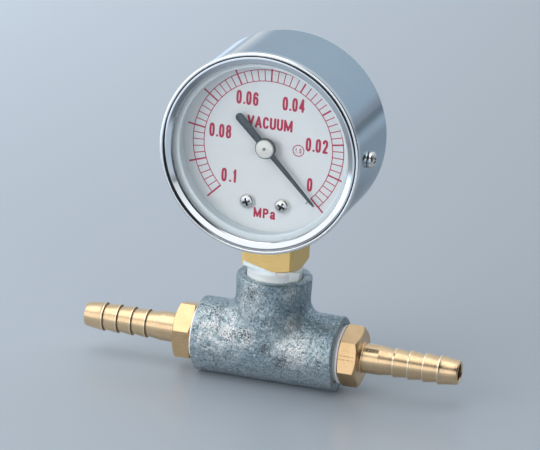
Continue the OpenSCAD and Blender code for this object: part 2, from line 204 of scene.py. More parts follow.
def srgb(*rgb):
    """sRGB 0-255 to linear."""
    def linear(c):
        return (c / 255 / 12.92) if c / 255 <= 0.04045 else ((c / 255 + 0.055) / 1.055) ** 2.4
    return tuple(linear(c) for c in rgb)


def shade(color, *factors):
    """Colour times one factor, or times one factor a channel."""
    return tuple(c * f for c, f in zip(color, factors * 3))


# ------------------------------------------------------------------ materials
def chrome(name, base, rough, wave, grime, painted_shade_reach=0.0, edge=1.0):
    """Plating, with painted shade darkening its corners out to the reach given in mm, none at
    0. edge: grey of the grazing reflection.
    """
    m = material(name)
    clouds = m.noise(scale=0.09, detail=2.0)
    fine = m.noise(scale=2.2, detail=4.0)
    streak = m.noise(scale=0.8, co=m.stretched(1.0, 0.12, 1.0))
    color = m.mix(clouds.remap(over=(0.35, 0.7), to=(0.0, grime)), base, shade(base, 0.86))
    roughness = (streak.remap(over=(0.3, 0.75), to=rough)
                 + fine.remap(over=(0.55, 0.8), to=(0.0, 0.03)))
    # painted shade: ambient occlusion darkens the colour in corners and recesses
    if painted_shade_reach:
        painted_shade_openness = m.node("ShaderNodeAmbientOcclusion", {"Distance": painted_shade_reach * MM}, out="AO",
                          samples=8, only_local=True)
        color = m.mix(painted_shade_openness.remap(over=(0.45, 0.92)), (0.03, 0.03, 0.03), color)
    normal = m.bump(m.noise(scale=0.22, detail=2.0), strength=wave, depth=0.05)
    normal = m.bump(fine, strength=0.08, depth=0.004, under=normal)
    extra = {}
    if edge < 1.0:
        extra["Specular_Tint"] = (edge, edge * 1.04, edge * 1.08, 1.0)
    return m.bsdf(color, 1.0, roughness, normal, **extra)


# places where highlights are painted into the zinc's colour: centre, radius
PAINTED_HIGHLIGHT_PLACES = (
    ((-14.5, -9.6, 4.5), 11.5), ((-5.6, -10.0, 14.0), 6.5), ((11.0, -10.9, 1.5), 10.0),
    ((8.4, -7.4, 10.8), 4.5), ((-3.8, -10.8, 19.8), 5.0), ((-5.5, -11.0, 5.0), 6.0),
    ((7.5, -8.4, 19.5), 3.5))
# clusters of dark specks: centre, radius, how much they add to the density
SPECK_CLUSTERS = (
    ((-4.2, -10.8, 19.0), 2.8, 0.10), ((-5.0, -10.9, 5.2), 3.6, 0.09),
    ((7.4, -11.3, -1.5), 3.8, 0.10), ((2.0, -11.6, 1.2), 2.8, 0.07),
    ((-18.0, -6.0, 9.5), 4.0, 0.05))


def galvanised():
    """Zinc over rough iron: blue-grey with a broken sheen, partly painted in as highlight
    patches, dark specks and dark clusters.
    """
    m = material("galvanised_casting")
    cloud = m.noise(scale=0.11, distortion=0.4)
    mottle = m.noise(scale=0.42, detail=5.0, rough=0.62, distortion=0.5)
    grain = m.noise(scale=1.3, detail=5.0, rough=0.70, distortion=0.3)
    fine = m.noise(scale=3.2, detail=4.0, rough=0.7)
    # painted highlight: pale patches mixed into the colour where the light catches the zinc
    first, *others = PAINTED_HIGHLIGHT_PLACES
    painted_highlight = m.blob(*first, soft=0.7)
    for place in others:
        painted_highlight = painted_highlight.at_least(m.blob(*place, soft=0.7))
    bright = painted_highlight * mottle.remap(over=(0.40, 0.56), to=(0.10, 1.0))
    color = m.mix(cloud.remap(over=(0.36, 0.64)), srgb(143, 167, 179), srgb(170, 188, 196))
    color = m.mix(bright * 0.82, color, srgb(240, 242, 242))
    # painted light: paler towards the underside, standing in for light reflected up from the
    # floor
    height = m.xyz()[2]
    painted_underside_light = (height.remap(over=(0.5, -7.5), to=(0, 0.66))
               * m.noise(scale=0.35).remap(over=(0.30, 0.62), to=(0.55, 1.0)))
    color = m.mix(painted_underside_light, color, srgb(214, 224, 229))
    color = m.mix(grain.remap(over=(0.45, 0.35), to=(0, 0.72)), color, srgb(78, 96, 107))
    color = m.mix(grain.remap(over=(0.54, 0.63), to=(0, 0.72)), color, srgb(238, 242, 242))
    # dark specks, where a noise falls under a threshold that follows their density
    specks = m.noise(scale=2.5, rough=0.72, distortion=0.5)
    density = m.noise(scale=0.30).remap(over=(0.40, 0.62), to=(0.0, 0.055))
    density = density + painted_highlight * 0.004
    for centre, radius, added in SPECK_CLUSTERS:
        density = density + m.blob(centre, radius, soft=0.8) * added
    threshold = density + 0.402
    sharpness = 30.0
    pit = m.math("MULTIPLY", threshold - specks, sharpness, clamp=True)
    color = m.mix(pit * 0.88, color, srgb(44, 50, 54))
    roughness = m.math("ADD", grain.remap(over=(0.3, 0.7), to=(0.38, 0.22)), pit * 0.3,
                       clamp=True)
    skin = grain * 1.0 + fine * 0.12
    skin = skin - pit * 0.45
    normal = m.bump(mottle, strength=0.70, depth=0.50)
    normal = m.bump(skin, strength=0.68, depth=0.22, under=normal)
    return m.bsdf(color, pit.remap(over=(0, 1), to=(0.84, 0.1)), roughness, normal)


def brass_color(name, base, tarnish):
    """Starts a brass: its nodes, a clouded and spotted colour, and the dull tone."""
    m = material(name)
    dull = shade(base, 0.74, 0.68, 0.58)
    clouds = m.noise(scale=0.25)
    color = m.mix(clouds.remap(over=(0.40, 0.72), to=(0.0, tarnish)), base, dull)
    spots = m.noise(scale=1.1, detail=4.0).remap(over=(0.66, 0.74)) * 0.45
    return m, m.mix(spots, color, shade(base, 0.5, 0.42, 0.34)), dull


def brass_plain(name, base, rough, tarnish):
    m, color, _ = brass_color(name, base, tarnish)
    fine = m.noise(scale=3.0, detail=4.0)
    normal = m.bump(fine, strength=0.25, depth=0.012)
    return m.bsdf(color, 1.0, fine.remap(over=(0.3, 0.7), to=rough), normal)


def brass_turned(name, base, rough, tarnish):
    """Brass with turned rings round the X axis."""
    m, color, dull = brass_color(name, base, tarnish)
    lines = m.noise(scale=1.0, rough=0.7, co=m.stretched(9.0, 0.35, 0.35))
    coarse = m.noise(scale=1.0, detail=2.0, rough=0.5, co=m.stretched(2.6, 0.1, 0.1))
    height = lines + coarse * 0.8
    light = tuple(min(1, c) for c in shade(base, 1.12))
    color = m.mix(coarse.remap(over=(0.45, 0.65), to=(0, 0.22)), color, light)
    normal = m.bump(height, strength=0.7, depth=0.030)
    roughness = lines.remap(over=(0.3, 0.7), to=rough)
    color = m.mix(lines.remap(over=(0.42, 0.28), to=(0, 0.35)), color, dull)
    return m.bsdf(color, 1.0, roughness, normal)


def brass_drawn(name, base, rough, tarnish, stretch, marked=False, metal=1.0):
    """Brass with faint lines along the bar, the direction where stretch is small."""
    m, color, _ = brass_color(name, base, tarnish)
    fine = m.noise(scale=3.0, detail=4.0)
    lines = m.noise(scale=1.0, detail=4.0, rough=0.65, co=m.stretched(*stretch))
    normal = m.bump(lines, strength=0.35, depth=0.012)
    normal = m.bump(fine, strength=0.15, depth=0.01, under=normal)
    roughness = lines.remap(over=(0.3, 0.7), to=rough)
    if marked:      # two short handling marks across the front flat of the right hexagon
        x, y, z = m.xyz()
        broken = m.noise(scale=1.6).remap(over=(0.42, 0.54), to=(0.15, 1.0))
        for mark_z in (2.5, 1.35):
            mark = abs(z - mark_z).remap(over=(0.05, 0.17), to=(1.0, 0.0))
            mark = mark * (x.remap(over=(24.0, 24.6)) * x.remap(over=(29.4, 28.8)))
            mark = mark * (y.remap(over=(-6.0, -7.0)) * broken)
            color = m.mix(mark * 0.85, color, shade(base, 0.30, 0.22, 0.14))
    return m.bsdf(color, metal, roughness, normal)


def ptfe():
    m = material("ptfe_tape_white")
    clouds = m.noise(scale=0.9, detail=4.0, distortion=0.8)
    fibres = m.noise(scale=1.0, detail=4.0, rough=0.7, co=m.stretched(1.2, 1.2, 7.0))
    color = m.mix(clouds.remap(over=(0.35, 0.7)), (0.95, 0.955, 0.97), (0.985, 0.985, 0.985))
    normal = m.bump(clouds + fibres, strength=0.5, depth=0.05)
    return m.bsdf(color, 0.0, fibres.remap(over=(0.3, 0.7), to=(0.42, 0.62)), normal,
                  Subsurface_Weight=0.25, Subsurface_Scale=0.0006)


def paint(name, base, rough, peel, speck, **extra):
    """Smooth coat. peel: strength of its bump. speck: how far it darkens in places."""
    m = material(name)
    clouds = m.noise(scale=0.6, detail=4.0)
    fine = m.noise(scale=6.0)
    color = m.mix(clouds.remap(over=(0.3, 0.75)), base, shade(base, 1 - speck))
    normal = m.bump(clouds + fine * 0.5, strength=peel, depth=0.02)
    roughness = fine.remap(over=(0.3, 0.7), to=(rough * 0.9, rough * 1.15))
    return m.bsdf(color, 0.0, roughness, normal, **extra)


def seam():
    """Groove of the bezel: painted black as shade, paling along the bottom of the ring as a
    painted reflection.
    """
    m = material("seam_painted_shade")
    x, _, z = m.xyz()
    # painted reflection: the groove pales along the bottom of the ring; painted shade: black
    # elsewhere
    pale = z.remap(over=(GAUGE_Z - 23.5, GAUGE_Z - 27.5)) * x.remap(over=(-19.0, -12.0))
    dirt = m.noise(scale=0.9)
    color = m.mix(pale, (0.012, 0.013, 0.016), (0.66, 0.68, 0.71))
    color = m.mix(dirt.remap(over=(0.4, 0.7), to=(0, 0.25)), color, (0.05, 0.052, 0.06))
    normal = m.bump(dirt, strength=0.2, depth=0.02)
    return m.bsdf(color, metallic=pale * 0.25, roughness=0.5, normal=normal)


def steel(name, base, rough):
    m = material(name)
    fine = m.noise(scale=5.0, detail=4.0)
    clouds = m.noise(scale=0.8)
    color = m.mix(clouds.remap(over=(0.35, 0.7), to=(0, 0.3)), base, shade(base, 0.8))
    normal = m.bump(fine, strength=0.2, depth=0.008)
    return m.bsdf(color, 1.0, fine.remap(over=(0.3, 0.7), to=rough), normal)


def turned_cap():
    """Bright cap with turned rings about the pointer axis."""
    m = material("turned_cap_nickel")
    x, _, z = m.xyz()
    up = z - GAUGE_Z
    radius = m.math("SQRT", x * x + up * up)
    rings = m.math("SINE", radius * 26.0)
    uneven = m.noise(scale=1.0, co=m.node("ShaderNodeCombineXYZ", {0: radius * 6.0}))
    color = m.mix(uneven.remap(over=(0.35, 0.7), to=(0, 0.6)),
                  (0.84, 0.82, 0.76), (0.70, 0.68, 0.63))
    normal = m.bump(rings * 0.35 + uneven, strength=0.45, depth=0.03)
    roughness = uneven.remap(over=(0.3, 0.7), to=(0.26, 0.42))
    return m.bsdf(color, metallic=0.55, roughness=roughness, normal=normal)


def glass():
    """Clear sheet that reflects but does not bend light or cast a reflection's shadow."""
    m = material("window_clear")
    normal = m.bump(m.noise(scale=0.05, detail=2.0), strength=0.05, depth=0.02)
    clear = m.node("ShaderNodeBsdfTransparent", {"Color": (0.985, 0.992, 0.995, 1)})
    haze = m.noise(scale=0.7).remap(over=(0.4, 0.7), to=(0.0, 0.02))
    gloss = m.node("ShaderNodeBsdfGlossy", {"Roughness": haze, "Normal": normal})
    fresnel = m.node("ShaderNodeFresnel", {"IOR": 1.45})
    shadow = m.node("ShaderNodeLightPath", out="Is Shadow Ray")
    reflection = fresnel * (1.0 - shadow)
    reflection = reflection * 0.55
    return m.finish(m.node("ShaderNodeMixShader", {0: reflection, 1: clear, 2: gloss}))


MATERIALS = {
    "case": chrome("case_chrome", base=(0.485, 0.575, 0.635), rough=(0.07, 0.12),
                   wave=0.10, grime=0.15, edge=0.84),
    "bezel": chrome("bezel_chrome", base=(0.68, 0.72, 0.76), rough=(0.04, 0.08),
                    wave=0.08, grime=0.10),
    # brighter copy of the chrome on the rolled rim: a painted highlight
    "rim": chrome("bezel_rim_painted_highlight", base=(0.84, 0.86, 0.87), rough=(0.20, 0.28),
                  wave=0.08, grime=0.08),
    "galv": galvanised(),
    "brass_hex": brass_drawn("brass_hex_bar", base=(0.80, 0.555, 0.31), rough=(0.24, 0.36),
                             tarnish=0.35, stretch=(0.25, 6.0, 6.0), marked=True),
    "brass_turned": brass_turned("brass_turned_tail", base=(0.79, 0.585, 0.36),
                                 rough=(0.16, 0.28), tarnish=0.30),
    # lighter copy of the brass on the barbs' crests as a painted highlight, darker copy in
    # their inner corners as painted shade
    "brass_crest_highlight": brass_plain("brass_crest_painted_highlight", base=(0.95, 0.80, 0.60),
                               rough=(0.14, 0.24), tarnish=0.05),
    "brass_corner_shade": brass_plain("brass_corner_painted_shade", base=(0.36, 0.24, 0.13),
                                rough=(0.40, 0.55), tarnish=0.2),
    "brass_block": brass_drawn("brass_stem_block", base=(1.0, 0.70, 0.275),
                               rough=(0.34, 0.46), tarnish=0.18, stretch=(6.0, 6.0, 0.25),
                               metal=0.80),
    "brass_move": brass_plain("brass_movement", base=(0.86, 0.66, 0.34),
                              rough=(0.24, 0.36), tarnish=0.2),
    "bronze": brass_plain("phosphor_bronze", base=(0.78, 0.50, 0.27),
                          rough=(0.28, 0.42), tarnish=0.35),
    "ptfe": ptfe(),
    "dial": paint("dial_enamel", base=(0.765, 0.785, 0.795), rough=0.36,
                  peel=0.05, speck=0.02),
    "print": paint("dial_print_crimson", base=srgb(190, 28, 76), rough=0.42,
                   peel=0.08, speck=0.18),
    "arbor": steel("arbor_dark", base=(0.30, 0.22, 0.20), rough=(0.35, 0.5)),
    "pointer": paint("pointer_charcoal", base=srgb(62, 72, 79), rough=0.36,
                     peel=0.15, speck=0.22, Coat_Weight=0.15),
    "gasket": paint("gasket_pale", base=(0.80, 0.87, 0.905), rough=0.45,
                    peel=0.2, speck=0.05),
    "rubber": paint("rubber_black", base=(0.02, 0.02, 0.021), rough=0.6,
                    peel=0.3, speck=0.3),
    "spacer": paint("spacer_satin", base=(0.70, 0.79, 0.835), rough=0.40,
                    peel=0.12, speck=0.05),
    "steel": steel("bright_steel", base=(0.66, 0.67, 0.68), rough=(0.18, 0.30)),
    "zinc": steel("zinc_plate", base=(0.60, 0.62, 0.60), rough=(0.30, 0.45)),
    "screw": chrome("screw_nickel", base=(0.80, 0.79, 0.76), rough=(0.09, 0.16),
                    wave=0.05, grime=0.25, painted_shade_reach=0.8),
    "cap": turned_cap(),
    "glass": glass(),
    "seam": seam(),
}


# ------------------------------------------------------------------ mesh tools
def new_mesh(name, verts, faces):
    mesh = bpy.data.meshes.new(name)
    mesh.from_pydata([tuple(v) for v in (np.asarray(verts, float) * MM)], [],
                     [list(map(int, face)) for face in faces])
    return mesh


def add_object(name, data):
    ob = bpy.data.objects.new(name, data)
    bpy.context.scene.collection.objects.link(ob)
    return ob


def recalc_normals(mesh, weld=None):
    """Turns the faces outward, first merging vertices closer than weld mm."""
    bm = bmesh.new()
    bm.from_mesh(mesh)
    if weld:
        bmesh.ops.remove_doubles(bm, verts=bm.verts, dist=weld * MM)
    bmesh.ops.recalc_face_normals(bm, faces=bm.faces)
    bm.to_mesh(mesh)
    bm.free()


def set_sharp(mesh, degrees):
    mesh.set_sharp_from_angle(angle=math.radians(degrees))


def outward(ob):
    recalc_normals(ob.data)
    ob.data.shade_smooth()


def make(name, mesh_data, material, replaces=None, body=ROOT, sharp=32.0,
         face_materials=None, weld=None):
    """A smooth shaded piece from (verts, faces) that rides on body, if one is given."""
    mesh = new_mesh(name, *mesh_data)
    mesh.validate()
    if weld:
        recalc_normals(mesh, weld)
    mesh.shade_smooth()
    set_sharp(mesh, sharp)
    ob = add_object(name, mesh)
    for key in [material] if isinstance(material, str) else material:
        mesh.materials.append(MATERIALS[key])
    if face_materials is not None:
        mesh.polygons.foreach_set("material_index", np.asarray(face_materials, np.int32))
    if body:
        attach(ob, body)
    if replaces:
        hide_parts(replaces)
    return ob


def fillet(corners, closed=True, step=15.0, support=0.04):
    """Rounds (x, y, radius) corners with arcs and holds the flats with a support point."""
    out = []
    count = len(corners)
    points = [np.array(corner[:2], float) for corner in corners]
    for i, p in enumerate(points):
        radius = corners[i][2]
        if radius <= 0 or (not closed and i in (0, count - 1)):
            out.append(tuple(p))
            continue
        back = points[i - 1] - p
        ahead = points[(i + 1) % count] - p
        back_len, ahead_len = np.linalg.norm(back), np.linalg.norm(ahead)
        back /= back_len
        ahead /= ahead_len
        half = math.acos(float(np.clip(back @ ahead, -1, 1))) / 2
        if half > PI / 2 - 0.01:
            out.append(tuple(p))
            continue
        reach = min(radius / math.tan(half), 0.48 * back_len, 0.48 * ahead_len)
        fitted = reach * math.tan(half)
        bisector = (back + ahead) / np.linalg.norm(back + ahead)
        centre = p + bisector * fitted / math.sin(half)
        start = p + back * reach
        end = p + ahead * reach
        a0 = math.atan2(*(start - centre)[::-1])
        a1 = math.atan2(*(end - centre)[::-1])
        turn = (a1 - a0 + PI) % (2 * PI) - PI
        steps = max(2, int(math.ceil(abs(math.degrees(turn)) / step)))
        if reach + support < 0.48 * back_len:
            out.append(tuple(start + back * support))
        for j in range(steps + 1):
            a = a0 + turn * j / steps
            out.append(tuple(centre + fitted * np.array([math.cos(a), math.sin(a)])))
        if reach + support < 0.48 * ahead_len:
            out.append(tuple(end + ahead * support))
    return out


def revolve(rows, place, angles, closed=True):
    """Skin over rows of (radius, height), each a number or one value an angle.

    A row of zero radius is a pole. closed joins the last row to the first.
    """
    verts, rings = [], []
    for radius, height in rows:
        radius = np.broadcast_to(radius, angles.shape)
        height = np.broadcast_to(height, angles.shape)
        if np.all(np.abs(radius) < 1e-9):
            rings.append([len(verts)])
            verts.append(place(0, 0, float(height[0])))
        else:
            rings.append(list(range(len(verts), len(verts) + len(angles))))
            verts += [place(r * math.cos(t), r * math.sin(t), h)
                      for r, t, h in zip(radius, angles, height)]
    faces = []
    count = len(angles)
    pairs = list(zip(rings[:-1], rings[1:])) + ([(rings[-1], rings[0])] if closed else [])
    for a, b in pairs:
        if len(a) == 1 and len(b) == 1:
            continue
        for j in range(count):
            k = (j + 1) % count
            if len(a) == 1:
                faces.append((a[0], b[k], b[j]))
            elif len(b) == 1:
                faces.append((a[j], a[k], b[0]))
            else:
                faces.append((a[j], a[k], b[k], b[j]))
    return verts, faces


def full_turn(segments):
    return np.linspace(0, 2 * PI, segments, endpoint=False)


def lathe(profile, place, segments, closed=True):
    return revolve(profile, place, full_turn(segments), closed)


def along_x(a, b, h):
    """Axis +X, angles from +Y towards +Z."""
    return (h, a, b)


def along_minus_x(a, b, h):
    return (-h, -a, b)


def along_z(a, b, h):
    return (a, b, h)


def on_gauge(right, up, out):
    return (right, -out, up + GAUGE_Z)


def on_dial(x, y, base=0):
    """Axis out of the dial through a point of it."""
    return lambda a, b, h: on_gauge(x + a, y + b, base + h)


def at_case_side(side, base=0):
    """Radial axis through a side screw: side 0 is right, 1 is left."""
    a = math.radians(-1 + 180 * side)
    return lambda p, q, h: ((base + h) * math.cos(a) - q * math.sin(a), SIDE_HOLE_Y + p,
                            GAUGE_Z + (base + h) * math.sin(a) + q * math.cos(a))


def circle_point(radius, degrees):
    return radius * math.cos(math.radians(degrees)), radius * math.sin(math.radians(degrees))


def ring_piece(name, node, corners, material, segments=256, place=on_gauge, body=ROOT,
               closed=True):
    """Lathed piece from (radius, height, fillet) corners."""
    mesh_data = lathe(fillet(corners, closed), place, segments, closed)
    ob = make(name, mesh_data, material, node, body)
    outward(ob)
    set_sharp(ob.data, 32)
    return ob


def join_meshes(parts):
    verts, faces = [], []
    for part_verts, part_faces in parts:
        faces += [tuple(i + len(verts) for i in face) for face in part_faces]
        verts += list(part_verts)
    return verts, faces


def cut(ob, cutters, sharp=32.0):
    """Takes the (verts, faces) cutters out of ob, one after another."""
    for cutter in cutters:
        cutter_mesh = new_mesh("cutter", *cutter)
        recalc_normals(cutter_mesh)
        cutter_ob = add_object("cutter", cutter_mesh)
        modifier = ob.modifiers.new("cut", "BOOLEAN")
        modifier.operation = "DIFFERENCE"
        modifier.solver = "EXACT"
        modifier.object = cutter_ob
        graph = bpy.context.evaluated_depsgraph_get()
        result = bpy.data.meshes.new_from_object(ob.evaluated_get(graph))
        ob.modifiers.clear()
        old = ob.data
        ob.data = result
        bpy.data.meshes.remove(old)
        bpy.data.objects.remove(cutter_ob)
        bpy.data.meshes.remove(cutter_mesh)
    ob.data.shade_smooth()
    set_sharp(ob.data, sharp)


def fractal(point, scale, octaves, seed=0.0):
    total, size = 0.0, 1.0
    p = Vector(point) + Vector((seed, seed * 0.7, -seed * 1.3))
    for _ in range(octaves):
        total += size * noise.noise(p * scale)
        size *= 0.5
        scale *= 2.07
    return total


# ------------------------------------------------------------------ tee casting
def round_overlap(a, b, radius):
    """Intersection of two distance fields with a rounded edge."""
    u = np.maximum(radius + a, 0)
    v = np.maximum(radius + b, 0)
    return np.minimum(-radius, np.maximum(a, b)) + np.sqrt(u * u + v * v)


def mouth_hollow(radius, along):
    """Threaded socket with a flared lip."""
    socket = np.maximum(radius - SOCKET_R, 12.3 - along)
    flare = (radius - SOCKET_R - (along - (TEE_HALF - 0.75))) * 0.7071
    return np.minimum(socket, np.maximum(flare, (TEE_HALF - 1.2) - along))


def tee_distance(x, y, z):
    run_r = np.sqrt(y * y + z * z) + 1e-9
    branch_r = np.sqrt(x * x + y * y) + 1e-9
    # both barrels have a faint waist behind their mouths
    run = run_r - TEE_R + 0.10 * np.exp(-((np.abs(x) - 13.0) / 4.5) ** 2)
    capped_r = np.where(z > 0, branch_r, np.sqrt(x * x + y * y + z * z))
    branch = capped_r - TEE_R + 0.10 * np.exp(-((z - 16.5) / 3.0) ** 2)
    # the fillet between them fades where they meet flush and below the axis
    flush = np.abs(y * y) / (run_r * branch_r)
    blend = (3.9 * np.clip(1.0 - flush, 0.0, 1.0) ** 0.55
             * np.clip((z + 1.0) / 7.0, 0.0, 1.0) + 1e-3)
    u = np.maximum(blend - run, 0)
    v = np.maximum(blend - branch, 0)
    body = np.maximum(blend, np.minimum(run, branch)) - np.sqrt(u * u + v * v)
    # flat mouths with bevelled edges
    body = round_overlap(body, np.abs(x) - TEE_HALF, 0.28)
    body = round_overlap(body, z - TEE_HALF, 0.28)
    edge = TEE_R + TEE_HALF - 0.42
    body = np.maximum(body, (run_r + np.abs(x) - edge) * 0.7071)
    body = np.maximum(body, np.where(z > 5, (branch_r + z - edge) * 0.7071, -9.0))
    sockets = np.minimum(mouth_hollow(run_r, np.abs(x)), mouth_hollow(branch_r, z))
    core = np.minimum(run_r - CORE_R, np.maximum(branch_r - CORE_R, -z))
    return round_overlap(body, -np.minimum(sockets, core), 0.12)


def surface_nets(field, lo, hi, step):
    """Quads over the zero surface of field, one vertex in each grid cell it crosses."""
    axes = [np.arange(lo[i], hi[i] + step, step) for i in range(3)]
    values = field(*np.meshgrid(*axes, indexing="ij"))
    inside = values < 0
    nx, ny, nz = values.shape
    corners = [(i, j, k) for i in (0, 1) for j in (0, 1) for k in (0, 1)]

    def at_corners(grid):
        return [grid[i:nx - 1 + i, j:ny - 1 + j, k:nz - 1 + k] for i, j, k in corners]

    corner_value = at_corners(values)
    corner_in = at_corners(inside)
    count = sum(c.astype(np.int8) for c in corner_in)
    active = (count > 0) & (count < 8)
    total = np.zeros(active.shape + (3,))
    crossings = np.zeros(active.shape)
    for a in range(8):
        for b in range(a + 1, 8):
            edge = np.array(corners[b]) - np.array(corners[a])
            if np.abs(edge).sum() != 1:
                continue
            hit = active & (corner_in[a] != corner_in[b])
            share = corner_value[a][hit] / (corner_value[a][hit] - corner_value[b][hit])
            for q in range(3):
                total[..., q][hit] += corners[a][q] + share * edge[q]
            crossings[hit] += 1
    ids = -np.ones(active.shape, int)
    cells = np.argwhere(active)
    ids[active] = np.arange(len(cells))
    verts = total[active] / crossings[active][:, None] + cells
    verts = verts * step + np.array([axis[0] for axis in axes])
    faces = []
    for axis, (side1, side2) in enumerate(((1, 2), (2, 0), (0, 1))):
        low = [slice(None)] * 3
        high = [slice(None)] * 3
        low[axis] = slice(0, -1)
        high[axis] = slice(1, None)
        starts_in = inside[tuple(low)]
        p = np.argwhere(starts_in != inside[tuple(high)])
        p = p[(p[:, side1] > 0) & (p[:, side2] > 0)]
        keep = starts_in[tuple(p.T)]

        def cell(d1, d2):
            q = p.copy()
            q[:, side1] -= d1
            q[:, side2] -= d2
            return ids[tuple(q.T)]

        quads = np.stack([cell(1, 1), cell(0, 1), cell(0, 0), cell(1, 0)], 1)
        quads[~keep] = quads[~keep][:, ::-1]
        faces.append(quads)
    return verts, np.concatenate(faces)


def tee_normals(points, eps):
    slopes = np.stack([tee_distance(*(points + e).T) - tee_distance(*(points - e).T)
                       for e in np.eye(3) * eps], 1) / (2 * eps)
    return slopes / np.maximum(np.linalg.norm(slopes, axis=1), 1e-6)[:, None]


def build_tee():
    step = 0.25
    v, faces = surface_nets(tee_distance, (-24.03, -13.03, -13.03), (24, 13, 24.1), step)
    for _ in range(3):      # pull the vertices onto the true surface
        distance = np.clip(tee_distance(*v.T), -0.2, 0.2)
        v = v - distance[:, None] * tee_normals(v, 0.01)
    # cast skin: soft lumps, dents and a scatter of small pits on the outside only
    run_r = np.hypot(v[:, 1], v[:, 2])
    branch_r = np.hypot(v[:, 0], v[:, 1])
    outer = (np.abs(v[:, 2]) < TEE_R + 4) & (run_r > 10.2)
    outer |= (branch_r > 10.2) & (v[:, 2] > 6)
    outer &= ~((v[:, 2] > TEE_HALF - 0.3) & (branch_r < 10.6))
    outer &= ~((np.abs(v[:, 0]) > TEE_HALF - 0.3) & (run_r < 10.6))
    lift = np.zeros(len(v))
    for i in np.nonzero(outer)[0]:
        p = v[i]
        lumps = fractal(p, 0.16, 2, 3.1) * 0.05
        dents = fractal(p, 0.55, 3, 9.7) * 0.075
        crowding = 0.4 + max(0.0, fractal(p, 0.2, 1, 5.5)) * 2.0
        pit = max(0.0, fractal(p, 1.15, 2, 21.3) - 0.36) * 0.30 * crowding
        lift[i] = lumps + dents - pit
    v = v + lift[:, None] * tee_normals(v, 0.05)
    make("tee_casting", (v, faces), "galv", "tee_fitting", sharp=60)


build_tee()


# ------------------------------------------------------------------ hose nipples
PITCH = 1.337
THREAD_R = 8.33
# one turn of thread: radius from the crest, distance along
THREAD_TURN = ((-0.62, 0.0), (-0.05, 0.50), (0, 0.58), (0, 0.72), (-0.06, 0.80))


def thread(end, turns):
    """Rings of a tapered thread (1 in 32 on radius) that ends at end."""
    rows = []
    for i in range(turns):
        start = end - PITCH * (turns - i)
        crest = THREAD_R - (end - start) / 32
        rows += [(crest + dr, start + dh) for dr, dh in THREAD_TURN]
    return rows


def polygon_radius(angles, sides, flat, turn, corner):
    """Radius of a regular polygon (flat: centre to side) with corners cut to a circle."""
    w = 2 * PI / sides
    a = (angles - turn + w / 2) % w - w / 2
    return np.minimum(flat / np.cos(a), corner)


def polygon_angles(sides, flat, turn, corner, steps):
    """Column angles, with steps across each corner's arc and two on each flat."""
    w = 2 * PI / sides
    half = math.acos(min(1.0, flat / corner))
    out = []
    for side in range(sides):
        c = turn + side * w
        out += list(np.linspace(c - half, c + half, steps + 1))
        out += [c + half + (w - 2 * half) * q for q in (0.33, 0.67)]
    return np.sort(np.unique(np.round(np.mod(out, 2 * PI), 7)))


HEX_FLAT = 8.5
HEX_CORNER = 9.74
HEX_FACE_R = 8.15       # flat part of the hexagon's outer face
NECK_R = 4.7
NECK_FILLET = 0.45
BORE_R = 2.7
TIP = 61.45
TIP_ROUND = 0.5
BARB_PITCH = 4.8
# crest rows take the painted highlight material, inner corner rows the painted shade material
NIPPLE_MATERIALS = ("brass_hex", "brass_turned", "brass_crest_highlight", "brass_corner_shade")
HEX, TURNED, CREST, CORNER = range(4)
# step up at the end of a barb: radius, distance from the crest, material
BARB_STEP = (
    (4.0, -0.24, CORNER), (4.0, -0.16, CORNER), (4.04, -0.115, CORNER),
    (4.56, -0.09, CREST), (4.64, -0.055, CREST), (4.67, -0.01, CREST), (4.67, 0.10, CREST),
    (4.665, 0.30, TURNED), (4.63, 0.36, TURNED))
# radius, distance along
LAST_TAPER = ((4.43, 56.5), (4.23, 58.0), (4.03, 59.5), (3.89, 60.6))
TIP_FACE = ((3.2, TIP), (3.08, TIP), (2.98, 61.42), (2.76, 61.18), (BORE_R, 61.08),
            (BORE_R, 60.9), (BORE_R, 40.0))


